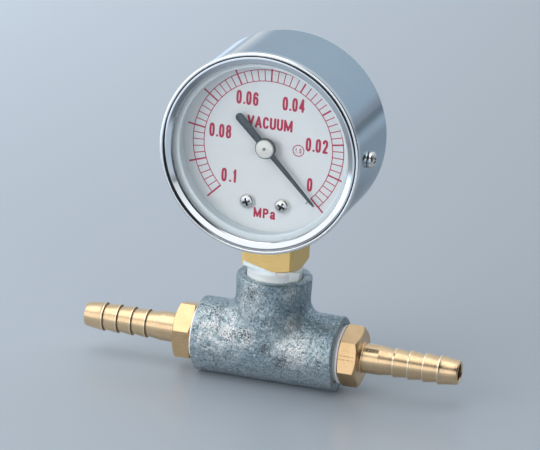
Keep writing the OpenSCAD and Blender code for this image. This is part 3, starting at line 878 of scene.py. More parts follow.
def nipple_rows(hexagon):
    """Rows of (radius, distance along, material) from the thread to the tip and bore."""
    rows = [(BORE_R, 12.86, TURNED), (7.1, 12.86, TURNED)]
    rows += [(r, h, TURNED) for r, h in thread(23.6, 8)]
    rows += [(7.95, 23.6, TURNED), (7.95, 24.14, TURNED), (8.05, HEX_IN, HEX)]
    # hexagon, its corners turned back at both faces
    inner = np.maximum(HEX_IN + (hexagon - 8.5) * 0.30, 24.24)
    outer = np.minimum(HEX_OUT - (hexagon - HEX_FACE_R) * 0.50, 30.1)
    rows += [(8.42, HEX_IN, HEX), (8.5, 24.21, HEX), (hexagon - 0.06, inner - 0.01, HEX),
             (hexagon, inner + 0.07, HEX), (hexagon, inner + 0.14, HEX),
             (hexagon, outer - 0.16, HEX), (hexagon, outer - 0.07, HEX),
             (hexagon - 0.07, outer + 0.015, HEX)]
    for q in (0.93, 0.5, 0.08):
        r = HEX_FACE_R + (hexagon - 0.07 - HEX_FACE_R) * q
        rows.append((r, np.minimum(HEX_OUT - (r - HEX_FACE_R) * 0.50, 30.19), HEX))
    rows += [(8.08, 30.195, HEX), (8.0, HEX_OUT, HEX), (7.9, HEX_OUT, HEX)]
    # outer face falls to the neck with a small fillet
    foot = NECK_R + NECK_FILLET
    rows += [(5.25, HEX_OUT, HEX), (foot, HEX_OUT, TURNED)]
    for a in np.radians((20, 45, 70)):
        rows.append((foot - NECK_FILLET * math.sin(a),
                     HEX_OUT + NECK_FILLET * (1 - math.cos(a)), TURNED))
    rows += [(r, h, TURNED) for r, h in (
        (NECK_R, 30.65), (NECK_R, 30.75), (NECK_R, 35.7), (NECK_R, 35.85),
        (4.685, 35.98), (4.66, 36.1))]
    for i in (3, 2, 1, 0):
        crest = TIP - 6.35 - i * BARB_PITCH
        start = max(crest - BARB_PITCH + 0.3, 36.3)
        for q in (0.25, 0.5, 0.75, 0.92):
            rows.append((4.64 - (4.64 - 4.03) * q, start + (crest - 0.30 - start) * q, TURNED))
        rows += [(r, crest + dh, finish) for r, dh, finish in BARB_STEP]
    rows += [(r, h, TURNED) for r, h in LAST_TAPER]
    for a in range(0, 91, 15):
        t = math.radians(a)
        rows.append((3.28 + TIP_ROUND * math.cos(t),
                     TIP - TIP_ROUND + TIP_ROUND * math.sin(t), TURNED))
    return rows + [(r, h, TURNED) for r, h in TIP_FACE]


def build_nipple(name, node, place, turn_deg):
    shape = dict(sides=6, flat=HEX_FLAT, turn=math.radians(turn_deg), corner=HEX_CORNER)
    angles = polygon_angles(steps=12, **shape)
    rows = nipple_rows(polygon_radius(angles, **shape))
    mesh_data = revolve([row[:2] for row in rows], place, angles)
    finishes = [row[2] for row in rows for _ in angles]
    ob = make(name, mesh_data, NIPPLE_MATERIALS, node, sharp=22,
              face_materials=finishes)
    recalc_normals(ob.data)
    set_sharp(ob.data, 22)


build_nipple("right_nipple", "right_hose_nipple", along_x, 180 - 13)
build_nipple("left_nipple", "left_hose_nipple", along_minus_x, 15 + 30)


# ------------------------------------------------------------------ stem block
def block_foot(radius):
    """Height of the bevel under the block."""
    return BLOCK_Z + (radius - FOOT_R) * FOOT_SLOPE


def under_case(x):
    """Height just under a cylinder a little wider than the case."""
    return GAUGE_Z - np.sqrt(np.maximum(31.5 ** 2 - x ** 2, 1)) - 0.02


def build_stem():
    """Square block: threaded below, its top following the round case, a tenon inside it."""
    shape = dict(sides=4, flat=BLOCK_HALF, turn=BLOCK_TURN, corner=11.35)
    angles = polygon_angles(steps=24, **shape)
    square = polygon_radius(angles, **shape)
    tenon = polygon_radius(angles, 4, flat=6.5, turn=0.0, corner=9.0)
    thread_end = BLOCK_Z - 1.0
    rows = [(1.5, 12.4), (7.1, 12.6)] + thread(thread_end, 9)
    rows += [(8.05, thread_end), (8.05, BLOCK_Z - 0.05), (8.15, BLOCK_Z), (8.36, BLOCK_Z),
             (FOOT_R, BLOCK_Z + 0.01)]
    part_way = FOOT_R + (square - FOOT_R) * 0.4
    foot = block_foot(square) + 0.02
    rows += [(part_way, block_foot(part_way) + 0.02), (square - 0.08, foot - 0.03),
             (square - 0.015, foot + 0.03), (square, foot + 0.12), (square, foot + 0.22)]
    top = under_case(square * np.cos(angles))
    rows += [(square, foot + 0.22 + (top - foot - 0.22) * q) for q in (0.25, 0.5, 0.75, 1.0)]
    rows += [(tenon, under_case(tenon * np.cos(angles))), (tenon, 49.1),
             (tenon - 0.2, 49.35), (tenon - 0.3, 49.4), (1.5, 49.4), (1.5, 46.0)]
    ob = make("stem_block", revolve(rows, along_z, angles), "brass_block", "stem_socket",
              sharp=24)
    recalc_normals(ob.data)
    set_sharp(ob.data, 24)


build_stem()


# ------------------------------------------------------------------ sealing tape
def wound_tape(name, node, place, end, seed, radius):
    """Tape in the socket, its visible end a ragged roll with one edge spiralling round."""
    angles = full_turn(160)
    ragged = np.array([fractal((3 * math.cos(a), 3 * math.sin(a), seed), 0.8, 3, seed)
                       for a in angles])
    edge = np.minimum(23.35 + (end - 23.7) * (angles / (2 * PI)) * 0.6, end - 0.35)
    rows = [(8.36, 13.2), (8.60, 13.2), (8.66, 13.5), (8.66, 21.6), (8.66, 22.4),
            (8.60 + 0.03 * ragged, 22.9),
            (radius - 0.10 + 0.05 * ragged, edge - 0.06),
            (radius + 0.05 * ragged, edge + 0.04),
            (radius + 0.06 * ragged, end - 0.16 + 0.04 * ragged),
            (radius - 0.06 + 0.05 * ragged, end - 0.07),
            (8.36, end - 0.04)]
    outward(make(name, revolve(rows, place, angles), "ptfe", node, sharp=50))


wound_tape("right_tape", "right_thread_tape", along_x, end=HEX_IN, seed=2.0, radius=9.15)
wound_tape("left_tape", "left_thread_tape", along_minus_x, end=HEX_IN, seed=5.0, radius=9.15)
wound_tape("stem_tape", "stem_thread_tape", along_z, end=26.19, seed=8.0, radius=8.62)


def tape_sheet(name, grid, thickness):
    """Closed sheet of tape from a grid of points, thickened along its normals."""
    n, m, _ = grid.shape
    normals = np.cross(np.gradient(grid, axis=0), np.gradient(grid, axis=1))
    normals /= np.maximum(np.linalg.norm(normals, axis=2), 1e-9)[..., None]
    top = grid + normals * thickness / 2
    bottom = grid - normals * thickness / 2
    verts = list(top.reshape(-1, 3)) + list(bottom.reshape(-1, 3))
    faces = []
    o = n * m       # offset of the bottom vertices
    for i in range(n - 1):
        for j in range(m - 1):
            a, b, c, d = i * m + j, i * m + j + 1, (i + 1) * m + j + 1, (i + 1) * m + j
            faces += [(a, b, c, d), (o + d, o + c, o + b, o + a)]
    for i in range(n - 1):
        a, d = i * m, (i + 1) * m
        faces.append((a, d, o + d, o + a))
        a, d = a + m - 1, d + m - 1
        faces.append((d, a, o + a, o + d))
    for j in range(m - 1):
        a, b = j, j + 1
        faces.append((b, a, o + a, o + b))
        a, b = (n - 1) * m + j, (n - 1) * m + j + 1
        faces.append((a, b, o + b, o + a))
    outward(make(name, (verts, faces), "ptfe", sharp=60))


def tape_lip():
    """Film of tape wound up over the lower left of the block's front face."""
    n, m = 40, 12
    start_z = 25.15     # where the film leaves the roll
    round_x = 6.2       # beyond this it no longer follows the roll
    bend = 0.4          # share of its width before it meets the block's face
    grid = np.zeros((n, m, 3))
    cos, sin = math.cos(BLOCK_TURN), math.sin(BLOCK_TURN)
    for i in range(n):
        x = -7.62 + i / (n - 1) * 10.9
        near_x = min(abs(x), round_x)
        top = 28.95 - (x + 8.4) * 0.245 + 0.10 * fractal((x, 0, 0), 0.7, 2, 1.5)
        foot = block_foot(math.hypot(min(abs(x), 7.5), BLOCK_HALF))
        roll_y = -math.sqrt(max(8.80 ** 2 - near_x ** 2, 0))
        for j in range(m):
            t = j / (m - 1)
            if t < bend:
                k = t / bend
                y = roll_y + (-8.58 - roll_y) * k
                z = start_z + (foot - 0.06 - start_z) * k ** 0.7
                film_x = math.copysign(near_x + max(abs(x) - round_x, 0) * k, x)
            else:
                k = (t - bend) / 0.6
                y = -8.59
                z = foot - 0.06 + (max(top, foot + 0.05) - foot + 0.06) * k
                film_x = x
            w = fractal((x, z, 2.0), 0.9, 2, 4.0)
            grid[i, j] = (film_x * cos - y * sin,
                          film_x * sin + y * cos - 0.02 + 0.03 * w, z + 0.03 * w)
    tape_sheet("stem_tape_lip", grid, 0.07)


def tape_end():
    """Loose end of the tape at the right of the stem, standing off it over the tee's mouth."""
    n, m = 9, 16
    grid = np.zeros((n, m, 3))
    for i in range(n):
        s = i / (n - 1)
        a = math.radians(-43 + 19.0 * s)
        for j in range(m):
            t = j / (m - 1)
            r = 8.78 + 1.35 * s ** 1.3 * (0.55 + 0.45 * t) + 0.06 * math.sin(5 * t + 3 * s)
            z = 23.25 + 2.95 * t - 0.35 * s + 0.10 * math.sin(9 * s + 1.0) * t
            grid[i, j] = (r * math.cos(a), r * math.sin(a), z)
    tape_sheet("stem_tape_end", grid, 0.10)


tape_lip()
tape_end()


# ------------------------------------------------------------------ case
# ring pressed into the back: radius, depth
BACK_RING = ((8.0, 0), (20.9, 0), (21.3, 0.02), (21.7, 0.10), (22.2, 0.13), (23.4, 0.13),
             (23.9, 0.10), (24.3, 0.02), (24.7, 0))


def build_case():
    wall = 0.8
    profile = fillet([
        (0, CASE_BACK, 0), (CASE_R, CASE_BACK, 2.0), (CASE_R, CASE_FRONT, 0.12),
        (CASE_R - wall, CASE_FRONT, 0.12), (CASE_R - wall, CASE_BACK + wall, 1.3),
        (0, CASE_BACK + wall, 0)], closed=False, step=8)
    profile = [(max(r, 0.0), h) for r, h in profile]
    profile[1:1] = [(r, CASE_BACK + depth) for r, depth in BACK_RING]
    # the long straight walls are split in ten
    rows = []
    for p, q in zip(profile, profile[1:]):
        rows.append(p)
        if abs(p[0] - q[0]) < 1e-6 and abs(q[1] - p[1]) > 10:
            rows += [(p[0], p[1] + (q[1] - p[1]) * k / 10) for k in range(1, 10)]
    rows.append(profile[-1])
    ob = make("case_cup", lathe(rows, on_gauge, 288, closed=False), "case", "case_shell")
    outward(ob)
    # opening for the stem below, and a hole for the screw at each side
    opening = ([(x, y, z) for x in (-7.05, 7.05) for y in (-7.35, 7.33) for z in (33, 41)],
               [(0, 1, 3, 2), (4, 6, 7, 5), (0, 4, 5, 1), (2, 3, 7, 6), (0, 2, 6, 4),
                (1, 5, 7, 3)])
    holes = [lathe([(0, 27), (1.6, 27), (1.6, 34), (0, 34)], at_case_side(side), 40, False)
             for side in (0, 1)]
    cut(ob, [opening] + holes)


build_case()


# radius, height from the bezel's front, fillet
BEZEL_LIP = (
    (31.6, 0, 0.62), (30.56, -0.02, 0.30), (30.52, -0.72, 0.04), (30.26, -0.72, 0.04),
    (30.24, -0.12, 0.20), (29.62, -0.10, 0.16), (28.15, -0.62, 0.25), (27.9, -0.95, 0.12),
    (27.9, -1.38, 0.08), (29.62, -1.38, 0.0))
# where the groove is rolled wider: bearing, half spread (degrees), extra width
WIDE_GROOVE = ((-150, 42, 0.52), (47, 44, 0.26))


def build_bezel():
    corners = [(31.6, 22.70, 0.12)]
    corners += [(r, BEZEL_FRONT + dh, fillet_r) for r, dh, fillet_r in BEZEL_LIP]
    corners += [(29.62, 20.2, 0.1), (30.38, 20.2, 0.1), (30.38, 22.70, 0.0)]
    verts, faces = lathe(fillet(corners, step=9, support=0.02), on_gauge, 360)
    verts = np.array(verts, float)
    r = np.hypot(verts[:, 0], verts[:, 2] - GAUGE_Z)
    h = -verts[:, 1]
    face_r = np.array([r[list(face)].mean() for face in faces])
    face_h = np.array([h[list(face)].mean() for face in faces])
    # material of each face: 0 bezel, 1 groove and inner edge painted dark as shade, 2 rim in a
    # brighter copy of the chrome as a painted highlight
    groove = (face_r > 30.25) & (face_r < 30.555) & (face_h > 23.9) & (face_h < 24.36)
    inner_edge = (face_r < 27.93) & (face_h < BEZEL_FRONT - 1.02)
    finish = (groove | inner_edge).astype(int)
    finish[(face_r > 30.5) & (face_h > BEZEL_FRONT - 0.64) & (finish == 0)] = 2
    bearing = np.degrees(np.arctan2(verts[:, 2] - GAUGE_Z, verts[:, 0]))
    extra = np.zeros(len(verts))
    for centre, spread, width in WIDE_GROOVE:
        d = np.abs((bearing - centre + 180) % 360 - 180) / spread
        extra += width * np.clip(1 - d * d, 0, 1)
    inner_wall = (r > 30.0) & (r < 30.30) & (h > BEZEL_FRONT - 0.80)
    shrink = np.where(inner_wall, (r - extra) / np.maximum(r, 1e-6), 1.0)
    verts[:, 0] *= shrink
    verts[:, 2] = GAUGE_Z + (verts[:, 2] - GAUGE_Z) * shrink
    outward(make("bezel", (verts, faces), ("bezel", "seam", "rim"), "bezel_ring",
                 face_materials=finish))


build_bezel()

WINDOW_R = 29.56
ring_piece("window", "window_glass",
           [(0, 21.6, 0), (WINDOW_R, 21.6, 0.2), (WINDOW_R, 23.27, 0.2), (0, 23.27, 0)],
           "glass", closed=False)
ring_piece("window_seat", "window_gasket",
           [(WINDOW_R, 20.8, 0.1), (WINDOW_R, 21.58, 0.1), (26.3, 21.58, 0.3),
            (26.3, 20.8, 0.3)], "gasket")
ring_piece("window_spacer", "window_spacer_ring",
           [(29.2, 15.02, 0.1), (29.2, 20.78, 0.1), (27.1, 20.78, 0.15), (27.1, 19.9, 0.05),
            (27.18, 19.75, 0.05), (27.18, 16.4, 0.05), (27.1, 16.25, 0.05),
            (27.1, 15.02, 0.12)], "spacer")


# ------------------------------------------------------------------ screws
def cross_recess(place, head_r, head_h, turn):
    """Cutters of a tapered cross recess: two bars and a cone."""
    parts = []
    # half length, half width, height of a bar's bottom and top
    ends = ((head_r * 0.30, head_r * 0.09, head_h * 0.16),
            (head_r * 0.66, head_r * 0.17, head_h * 1.3))
    for a in (turn, turn + PI / 2):
        verts = []
        for length, width, z in ends:
            for sx, sy in ((-1, -1), (1, -1), (1, 1), (-1, 1)):
                x, y = sx * length, sy * width
                verts.append(place(x * math.cos(a) - y * math.sin(a),
                                   x * math.sin(a) + y * math.cos(a), z))
        parts.append((verts, [(0, 3, 2, 1), (4, 5, 6, 7), (0, 1, 5, 4), (1, 2, 6, 5),
                              (2, 3, 7, 6), (3, 0, 4, 7)]))
    cone = [(0, head_h * 0.30), (head_r * 0.10, head_h * 0.34), (head_r * 0.30, head_h * 1.3),
            (0, head_h * 1.3)]
    parts.append(lathe(cone, place, 24, False))
    return parts


def screw(place, head_r, head_h, shank_r, shank_len):
    """Domed screw with its head's seat at height 0."""
    rows = [(0, -shank_len), (shank_r * 0.7, -shank_len), (shank_r, -shank_len + 0.3)]
    z = -shank_len + 0.5
    while z < -0.9:
        rows += [(shank_r, z), (shank_r - 0.16, z + 0.2), (shank_r, z + 0.4)]
        z += 0.45
    rows += [(shank_r - 0.05, -0.4), (shank_r - 0.05, 0.0), (head_r - 0.15, 0.0),
             (head_r - 0.04, 0.05), (head_r, 0.16), (head_r, head_h * 0.34),
             (head_r - 0.01, head_h * 0.40)]
    for a in range(10, 91, 8):
        t = math.radians(a)
        rows.append((head_r - head_h * 0.62 * (1 - math.cos(t)) * 1.05,
                     head_h * 0.40 + head_h * 0.5 * math.sin(t)))
    dome_r = rows[-1][0]
    rows += [(dome_r * 0.66, head_h * 0.945), (dome_r * 0.33, head_h * 0.985), (0, head_h)]
    return lathe(rows, place, 64, closed=False)


def screw_group(name, node, places, head_r, head_h, shank_r, shank_len):
    """One object of equal screws; places are (placement, turn of the recess)."""
    bodies, cutters = [], []
    for place, turn in places:
        bodies.append(screw(place, head_r, head_h, shank_r, shank_len))
        cutters += cross_recess(place, head_r, head_h, turn)
    ob = make(name, join_meshes(bodies), "screw", node, sharp=30)
    outward(ob)
    cut(ob, cutters, 30)


screw_group("side_screws", "case_side_screws",
            [(at_case_side(0, CASE_R + 0.02), 0.55), (at_case_side(1, CASE_R + 0.02), 0.2)],
            head_r=2.65, head_h=2.05, shank_r=1.45, shank_len=4.6)
screw_group("dial_fixing_screws", "dial_screws",
            [(on_dial(-5.6, -18.2, 15.02), 0.35), (on_dial(5.6, -18.2, 15.02), 1.15)],
            head_r=2.3, head_h=1.45, shank_r=1.0, shank_len=4.4)
ring_piece("stop_pin", "zero_stop_pin",
           [(0, 14.3, 0), (0.35, 14.3, 0.06), (0.35, 17.95, 0.14), (0, 17.95, 0)],
           "steel", segments=24, place=on_dial(*circle_point(20.7, -47.8)),
           closed=False)


# ------------------------------------------------------------------ dial print
SCALE_START = math.radians(-45)
SCALE_SWEEP = math.radians(270)
DIVISIONS = 50
ARC_RADII = (20.5, 24.0)
ARC_WIDTH = 0.25
MINOR_WIDTH, MAJOR_WIDTH = 0.27, 0.50
MAJOR_END = 26.2


def print_prism(outline, caps):
    """Thin prism of print over an outline on the dial; caps are its end faces."""
    n = len(outline)
    verts = [on_gauge(x, y, h) for h in (PRINT_LOW, PRINT_TOP) for x, y in outline]
    sides = [(i, (i + 1) % n, n + (i + 1) % n, n + i) for i in range(n)]
    return verts, caps + sides


def tick(theta, half, start, end):
    c, s = math.cos(theta), math.sin(theta)
    outline = [(r * c - o * s, r * s + o * c)
               for r, o in ((start, -half), (end, -half), (end, half), (start, half))]
    return print_prism(outline, [(3, 2, 1, 0), (4, 5, 6, 7)])


def arc_band(inner, outer, start, end):
    n = max(1, int(math.degrees(end - start) / 1.2))
    turns = [start + (end - start) * k / n for k in range(n + 1)]
    outline = [(inner * math.cos(t), inner * math.sin(t)) for t in turns]
    outline += [(outer * math.cos(t), outer * math.sin(t)) for t in turns[::-1]]
    m = len(outline)
    caps = []
    for k in range(n):
        a0, a1, b1, b0 = k, k + 1, m - 2 - k, m - 1 - k
        caps += [(a0, b0, b1, a1), (m + a0, m + a1, m + b1, m + b0)]
    return print_prism(outline, caps)


def build_scale():
    """The two arcs and the ticks as one connected grid, so nothing overlaps."""
    inner, outer = ARC_RADII
    ticks = [(SCALE_START + SCALE_SWEEP * i / DIVISIONS,
              (MINOR_WIDTH if i % 5 else MAJOR_WIDTH) / 2,
              outer + ARC_WIDTH / 2 if i % 5 else MAJOR_END) for i in range(DIVISIONS + 1)]
    parts = []
    for i, (theta, half, end) in enumerate(ticks):
        parts.append(tick(theta, half, inner - ARC_WIDTH / 2, end))
        if i < DIVISIONS:
            next_theta, next_half, _ = ticks[i + 1]
            for r in ARC_RADII:
                parts.append(arc_band(r - ARC_WIDTH / 2, r + ARC_WIDTH / 2,
                                      theta + math.asin(half / r),
                                      next_theta - math.asin(next_half / r)))
    make("dial_scale_print", join_meshes(parts), "print", sharp=30,
         weld=0.0008)


build_scale()


def arc(cx, cy, rx, ry, start, end, steps, power):
    """Points of an elliptic arc in degrees; a power under 1 squares it."""
    out = []
    for i in range(steps + 1):
        t = math.radians(start + (end - start) * i / steps)
        c, s = math.cos(t), math.sin(t)
        out.append((cx + rx * math.copysign(abs(c) ** power, c),
                    cy + ry * math.copysign(abs(s) ** power, s)))
    return out


# width over height, then the centre lines of the strokes in a unit box
GLYPHS = {
    "0": (0.40, [arc(.5, .5, .5, .5, 0, 360, 48, 0.72)]),
    "1": (0.24, [[(0.0, .80), (.45, .86), (.80, 1.0), (.80, 0.0)]]),
    "2": (0.40, [arc(.5, .74, .5, .26, 172, 0, 18, 0.85)
                 + [(.93, .56), (.5, .28), (.02, 0.0), (1.0, 0.0)]]),
    "4": (0.42, [[(1.0, .27), (0.0, .27), (.74, 1.0), (.74, 0.0)]]),
    "6": (0.40, [arc(.5, .30, .5, .30, 0, 360, 40, 0.78),
                 [(0.0, .30), (0.0, .66)] + arc(.5, .72, .5, .28, 178, 22, 16, 0.85)]),
    "8": (0.40, [arc(.5, .77, .46, .23, 0, 360, 36, 0.82),
                 arc(.5, .27, .5, .27, 0, 360, 36, 0.82)]),
    ".": (0.10, [[(.5, .02), (.5, .03)]]),
    "V": (0.60, [[(0.0, 1.0), (.5, 0.0), (1.0, 1.0)]]),
    "A": (0.60, [[(0.0, 0.0), (.5, 1.0), (1.0, 0.0)], [(.17, .27), (.83, .27)]]),
    "C": (0.53, [arc(.5, .5, .5, .5, 38, 322, 40, 0.78)]),
    "U": (0.53, [[(0.0, 1.0), (0.0, .34)] + arc(.5, .34, .5, .34, 180, 360, 20, 0.82)
                 + [(1.0, .34), (1.0, 1.0)]]),
    "M": (0.74, [[(0.0, 0.0), (0.0, 1.0), (.5, .10), (1.0, 1.0), (1.0, 0.0)]]),
    "m": (0.78, [[(0.0, 0.0), (0.0, 1.0), (.5, .06), (1.0, 1.0), (1.0, 0.0)]]),
    "P": (0.56, [[(0.0, 0.0), (0.0, 1.0), (.55, 1.0)]
                 + arc(.55, .75, .45, .25, 90, -90, 16, 0.85) + [(0.0, .50)]]),
    "a": (0.54, [arc(.46, .54, .42, .19, 165, 0, 14, 0.80) + [(.88, .10), (1.0, 0.0)],
                 [(.88, .38), (.40, .34)] + arc(.40, .17, .40, .17, 90, 270, 14, 0.85)
                 + [(.62, .02), (.88, .16)]]),
}


def contours(field, x0, y0, step):
    """Closed loops where field is 0 on a grid (marching squares)."""
    points, links = {}, {}

    def crossing(i, j, axis):
        key = (i, j, axis)
        if key not in points:
            a = field[i, j]
            b = field[i, j + 1] if axis else field[i + 1, j]
            t = a / (a - b)
            points[key] = (x0 + (i + (0 if axis else t)) * step,
                           y0 + (j + (t if axis else 0)) * step)
        return key

    inside = field < 0
    first = inside[:-1, :-1]
    cells = np.argwhere((first != inside[1:, :-1]) | (first != inside[:-1, 1:])
                        | (first != inside[1:, 1:]))
    for i, j in cells:
        i, j = int(i), int(j)
        c = [inside[i, j], inside[i + 1, j], inside[i + 1, j + 1], inside[i, j + 1]]
        e = [crossing(i, j, 0) if c[0] != c[1] else None,
             crossing(i + 1, j, 1) if c[1] != c[2] else None,
             crossing(i, j + 1, 0) if c[2] != c[3] else None,
             crossing(i, j, 1) if c[3] != c[0] else None]
        found = [key for key in e if key is not None]
        middle = field[i, j] + field[i + 1, j] + field[i, j + 1] + field[i + 1, j + 1]
        if len(found) == 2:
            pairs = [found]
        elif (middle < 0) == bool(c[0]):
            pairs = [(e[0], e[1]), (e[2], e[3])]
        else:
            pairs = [(e[3], e[0]), (e[1], e[2])]
        for a, b in pairs:
            links.setdefault(a, []).append(b)
            links.setdefault(b, []).append(a)
    loops, seen = [], set()
    for start in links:
        if start in seen:
            continue
        loop, previous, current = [], None, start
        while current not in seen:
            seen.add(current)
            loop.append(points[current])
            following = [key for key in links[current] if key != previous]
            previous, current = current, following[0]
        if len(loop) > 5:
            loops.append(loop)
    return loops


def text_loops(text, cx, cy, height, width, stroke):
    """Outlines of a line of text centred on (cx, cy)."""
    widths = [GLYPHS[char][0] * height for char in text]
    gap = (width - sum(widths)) / max(1, len(text) - 1)
    left = cx - width / 2
    segments = []
    for char, w in zip(text, widths):
        for line in GLYPHS[char][1]:
            points = [(left + stroke / 2 + u * max(w - stroke, 0.01),
                       cy - height / 2 + stroke / 2 + v * (height - stroke)) for u, v in line]
            segments += list(zip(points[:-1], points[1:]))
        left += w + gap
    step, margin = 0.05, 0.4
    grid_x = np.arange(cx - width / 2 - margin, cx + width / 2 + margin, step)
    grid_y = np.arange(cy - height / 2 - margin, cy + height / 2 + margin, step)
    x, y = np.meshgrid(grid_x, grid_y, indexing="ij")
    field = np.full(x.shape, 9.0)
    for (ax, ay), (bx, by) in segments:
        dx, dy = bx - ax, by - ay
        t = np.clip(((x - ax) * dx + (y - ay) * dy) / (dx * dx + dy * dy + 1e-12), 0, 1)
        field = np.minimum(field, np.hypot(x - ax - t * dx, y - ay - t * dy))
    field -= stroke / 2
    field[np.abs(field) < 1e-6] = 1e-6
    return contours(field, grid_x[0], grid_y[0], step)


def print_text(name, lines):
    """Lines of (text, centre x, centre y, height, width, stroke) as one thin closed mesh."""
    curve = bpy.data.curves.new(name, "CURVE")
    curve.dimensions = "2D"
    curve.fill_mode = "BOTH"
    curve.extrude = 0.02
    for line in lines:
        for loop in text_loops(*line):
            spline = curve.splines.new("POLY")
            spline.points.add(len(loop) - 1)
            for k, (x, y) in enumerate(loop):
                spline.points[k].co = (x, y, 0, 1)
            spline.use_cyclic_u = True
    source = add_object(name, curve)
    bpy.context.view_layer.update()
    graph = bpy.context.evaluated_depsgraph_get()
    mesh = bpy.data.meshes.new_from_object(source.evaluated_get(graph))
    bpy.data.objects.remove(source)
    co = np.empty(len(mesh.vertices) * 3)
    mesh.vertices.foreach_get("co", co)
    x, y, z = co.reshape(-1, 3).T
    placed = np.stack(on_gauge(x, y, DIAL_FACE + 0.025 + z), 1) * MM
    mesh.vertices.foreach_set("co", placed.ravel())
    recalc_normals(mesh, weld=1e-4)
    mesh.name = name
    mesh.shade_flat()
    ob = add_object(name, mesh)
    mesh.materials.clear()
    mesh.materials.append(MATERIALS["print"])
    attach(ob, ROOT)


# number, radius, bearing, width
NUMBERS = (("0", 17.3, -36.3, 1.85), ("0.02", 15.6, 8.8, 7.05), ("0.04", 16.0, 62.5, 7.05),
           ("0.06", 16.1, 117.1, 7.05), ("0.08", 15.7, 169.5, 7.05),
           ("0.1", 16.2, -137.6, 4.8))
CLASS_PLACE = circle_point(9.7, -0.1)
print_text("dial_numbers", [(text, *circle_point(radius, bearing), 4.3, width, 0.70)
                            for text, radius, bearing, width in NUMBERS])
print_text("dial_word", [("VACUUM", 0.2, 7.26, 3.75, 14.45, 0.70)])
print_text("dial_unit", [("mPa", 0.05, -21.45, 3.2, 7.0, 0.62)])
print_text("class_mark", [("1.6", *CLASS_PLACE, 1.55, 1.95, 0.19)])
CLASS_RING = [(1.86, PRINT_LOW), (1.86, PRINT_TOP), (1.60, PRINT_TOP), (1.60, PRINT_LOW)]
outward(make("class_mark_ring", lathe(CLASS_RING, on_dial(*CLASS_PLACE), 64), "print",
             sharp=30))


# ------------------------------------------------------------------ pointer
# distance from the arbor towards the tip, half width
NEEDLE = ((23.05, 0.10), (22.6, 0.28), (21.8, 0.42), (17.0, 0.54), (11.0, 0.68), (5.0, 0.80),
          (2.4, 0.86), (0.0, 0.95), (-2.4, 1.05), (-5.0, 1.13), (-8.0, 1.22), (-11.0, 1.32))


def build_pointer():
    low, high = 17.3, 17.7
    cos, sin = math.cos(SCALE_START), math.sin(SCALE_START)
    stations = list(NEEDLE)
    for a in range(0, 91, 15):      # rounded tail
        t = math.radians(a)
        stations.append((-12.25 - 1.35 * math.sin(t), max(0.06, 1.35 * math.cos(t))))
    verts, faces = [], []
    for x, half in stations:
        bevel = min(0.10, half * 0.5)
        crest = 0.16 if x > -11.5 else 0.16 * max(0.0, (x + 13.6) / 2.1)
        # across, from the under side over the bevelled edges and the crest
        section = ((-half, low), (-half, high - 0.10), (-half + bevel, high - 0.01),
                   (-half * 0.30, high + crest * 0.8), (0, high + crest),
                   (half * 0.30, high + crest * 0.8), (half - bevel, high - 0.01),
                   (half, high - 0.10), (half, low))
        verts += [on_gauge(x * cos - y * sin, x * sin + y * cos, h) for y, h in section]
    k = 9       # points in a section
    for i in range(len(stations) - 1):
        for j in range(k):
            a, b = i * k + j, i * k + (j + 1) % k
            faces.append((a, b, b + k, a + k))
    faces.append(tuple(range(k))[::-1])
    faces.append(tuple(range((len(stations) - 1) * k, len(stations) * k)))
    hub = lathe(fillet([(0.71, 17.28, 0), (3.25, 17.28, 0.12), (3.25, 18.1, 0.22),
                        (0.71, 18.1, 0)]), on_gauge, 96)
    outward(make("pointer_needle", join_meshes([(verts, faces), hub]), "pointer", "pointer",
                 body=POINTER_BODY, sharp=40))


build_pointer()
ring_piece("hub_cap", "pointer_cap",
           [(0.40, 18.12, 0), (2.85, 18.12, 0.05), (2.85, 18.55, 0.10), (2.62, 18.80, 0.20),
            (0.62, 18.90, 0.05), (0.40, 18.72, 0.02)],
           "cap", segments=128, body=POINTER_BODY)


# ------------------------------------------------------------------ Bourdon tube
def stadium(width, height, steps=12):
    out = []
    for start, side in ((0, 1), (PI, -1)):
        for i in range(steps + 1):
            t = start + PI * i / steps
            out.append((width / 2 * math.cos(t),
                        side * (height - width) / 2 + width / 2 * math.sin(t)))
    return out


def build_tube():
    """Hollow flattened tube bent round the gauge's axis."""
    radius, middle = 24.0, -1.5
    start, end, steps = math.radians(-4), math.radians(263), 150
    outer, inner = stadium(3.0, 10.0), stadium(2.3, 9.3)
    n = len(outer)
    k = 2 * n
    verts, faces = [], []
    for i in range(steps + 1):
        t = start + (end - start) * i / steps
        for across, out in outer + inner:
            r = radius + across
            verts.append(on_gauge(r * math.cos(t), r * math.sin(t), middle + out))
    for i in range(steps):
        for j in range(n):
            a, b = i * k + j, i * k + (j + 1) % n
            faces.append((a, b, b + k, a + k))
            a, b = a + n, b + n
            faces.append((b, a, a + k, b + k))
    for i, order in ((0, 1), (steps, -1)):
        for j in range(n):
            a, b = i * k + j, i * k + (j + 1) % n
            faces.append((a, a + n, b + n, b)[::order])
    ob = make("pressure_tube", (verts, faces), "bronze", body=None, sharp=40)
    outward(ob)
    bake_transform(ob)
    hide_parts("bourdon_tube")


build_tube()


# ------------------------------------------------------------------ CAD pieces that stay
KEPT = {
    "rubber": ["case_socket_gasket"],
    "zinc": ["dial_carrier_ring"],
    "dial": ["dial_plate"],
    "brass_move": ["dial_posts", "movement_back_plate", "movement_front_plate",
                   "movement_pillars", "hairspring_stud", "sector_gear",
                   "hairspring_collet", "tip_link", "tube_tip"],
    "steel": ["pillar_screws", "movement_screws", "sector_shaft", "tail_pin"],
    "bronze": ["hairspring"],
    "arbor": ["pinion_shaft"],
}
for key, nodes in KEPT.items():
    for node in nodes:
        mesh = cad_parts[node].data
        mesh.materials.clear()
        mesh.materials.append(MATERIALS[key])
        mesh.polygons.foreach_set("material_index", np.zeros(len(mesh.polygons), np.int32))


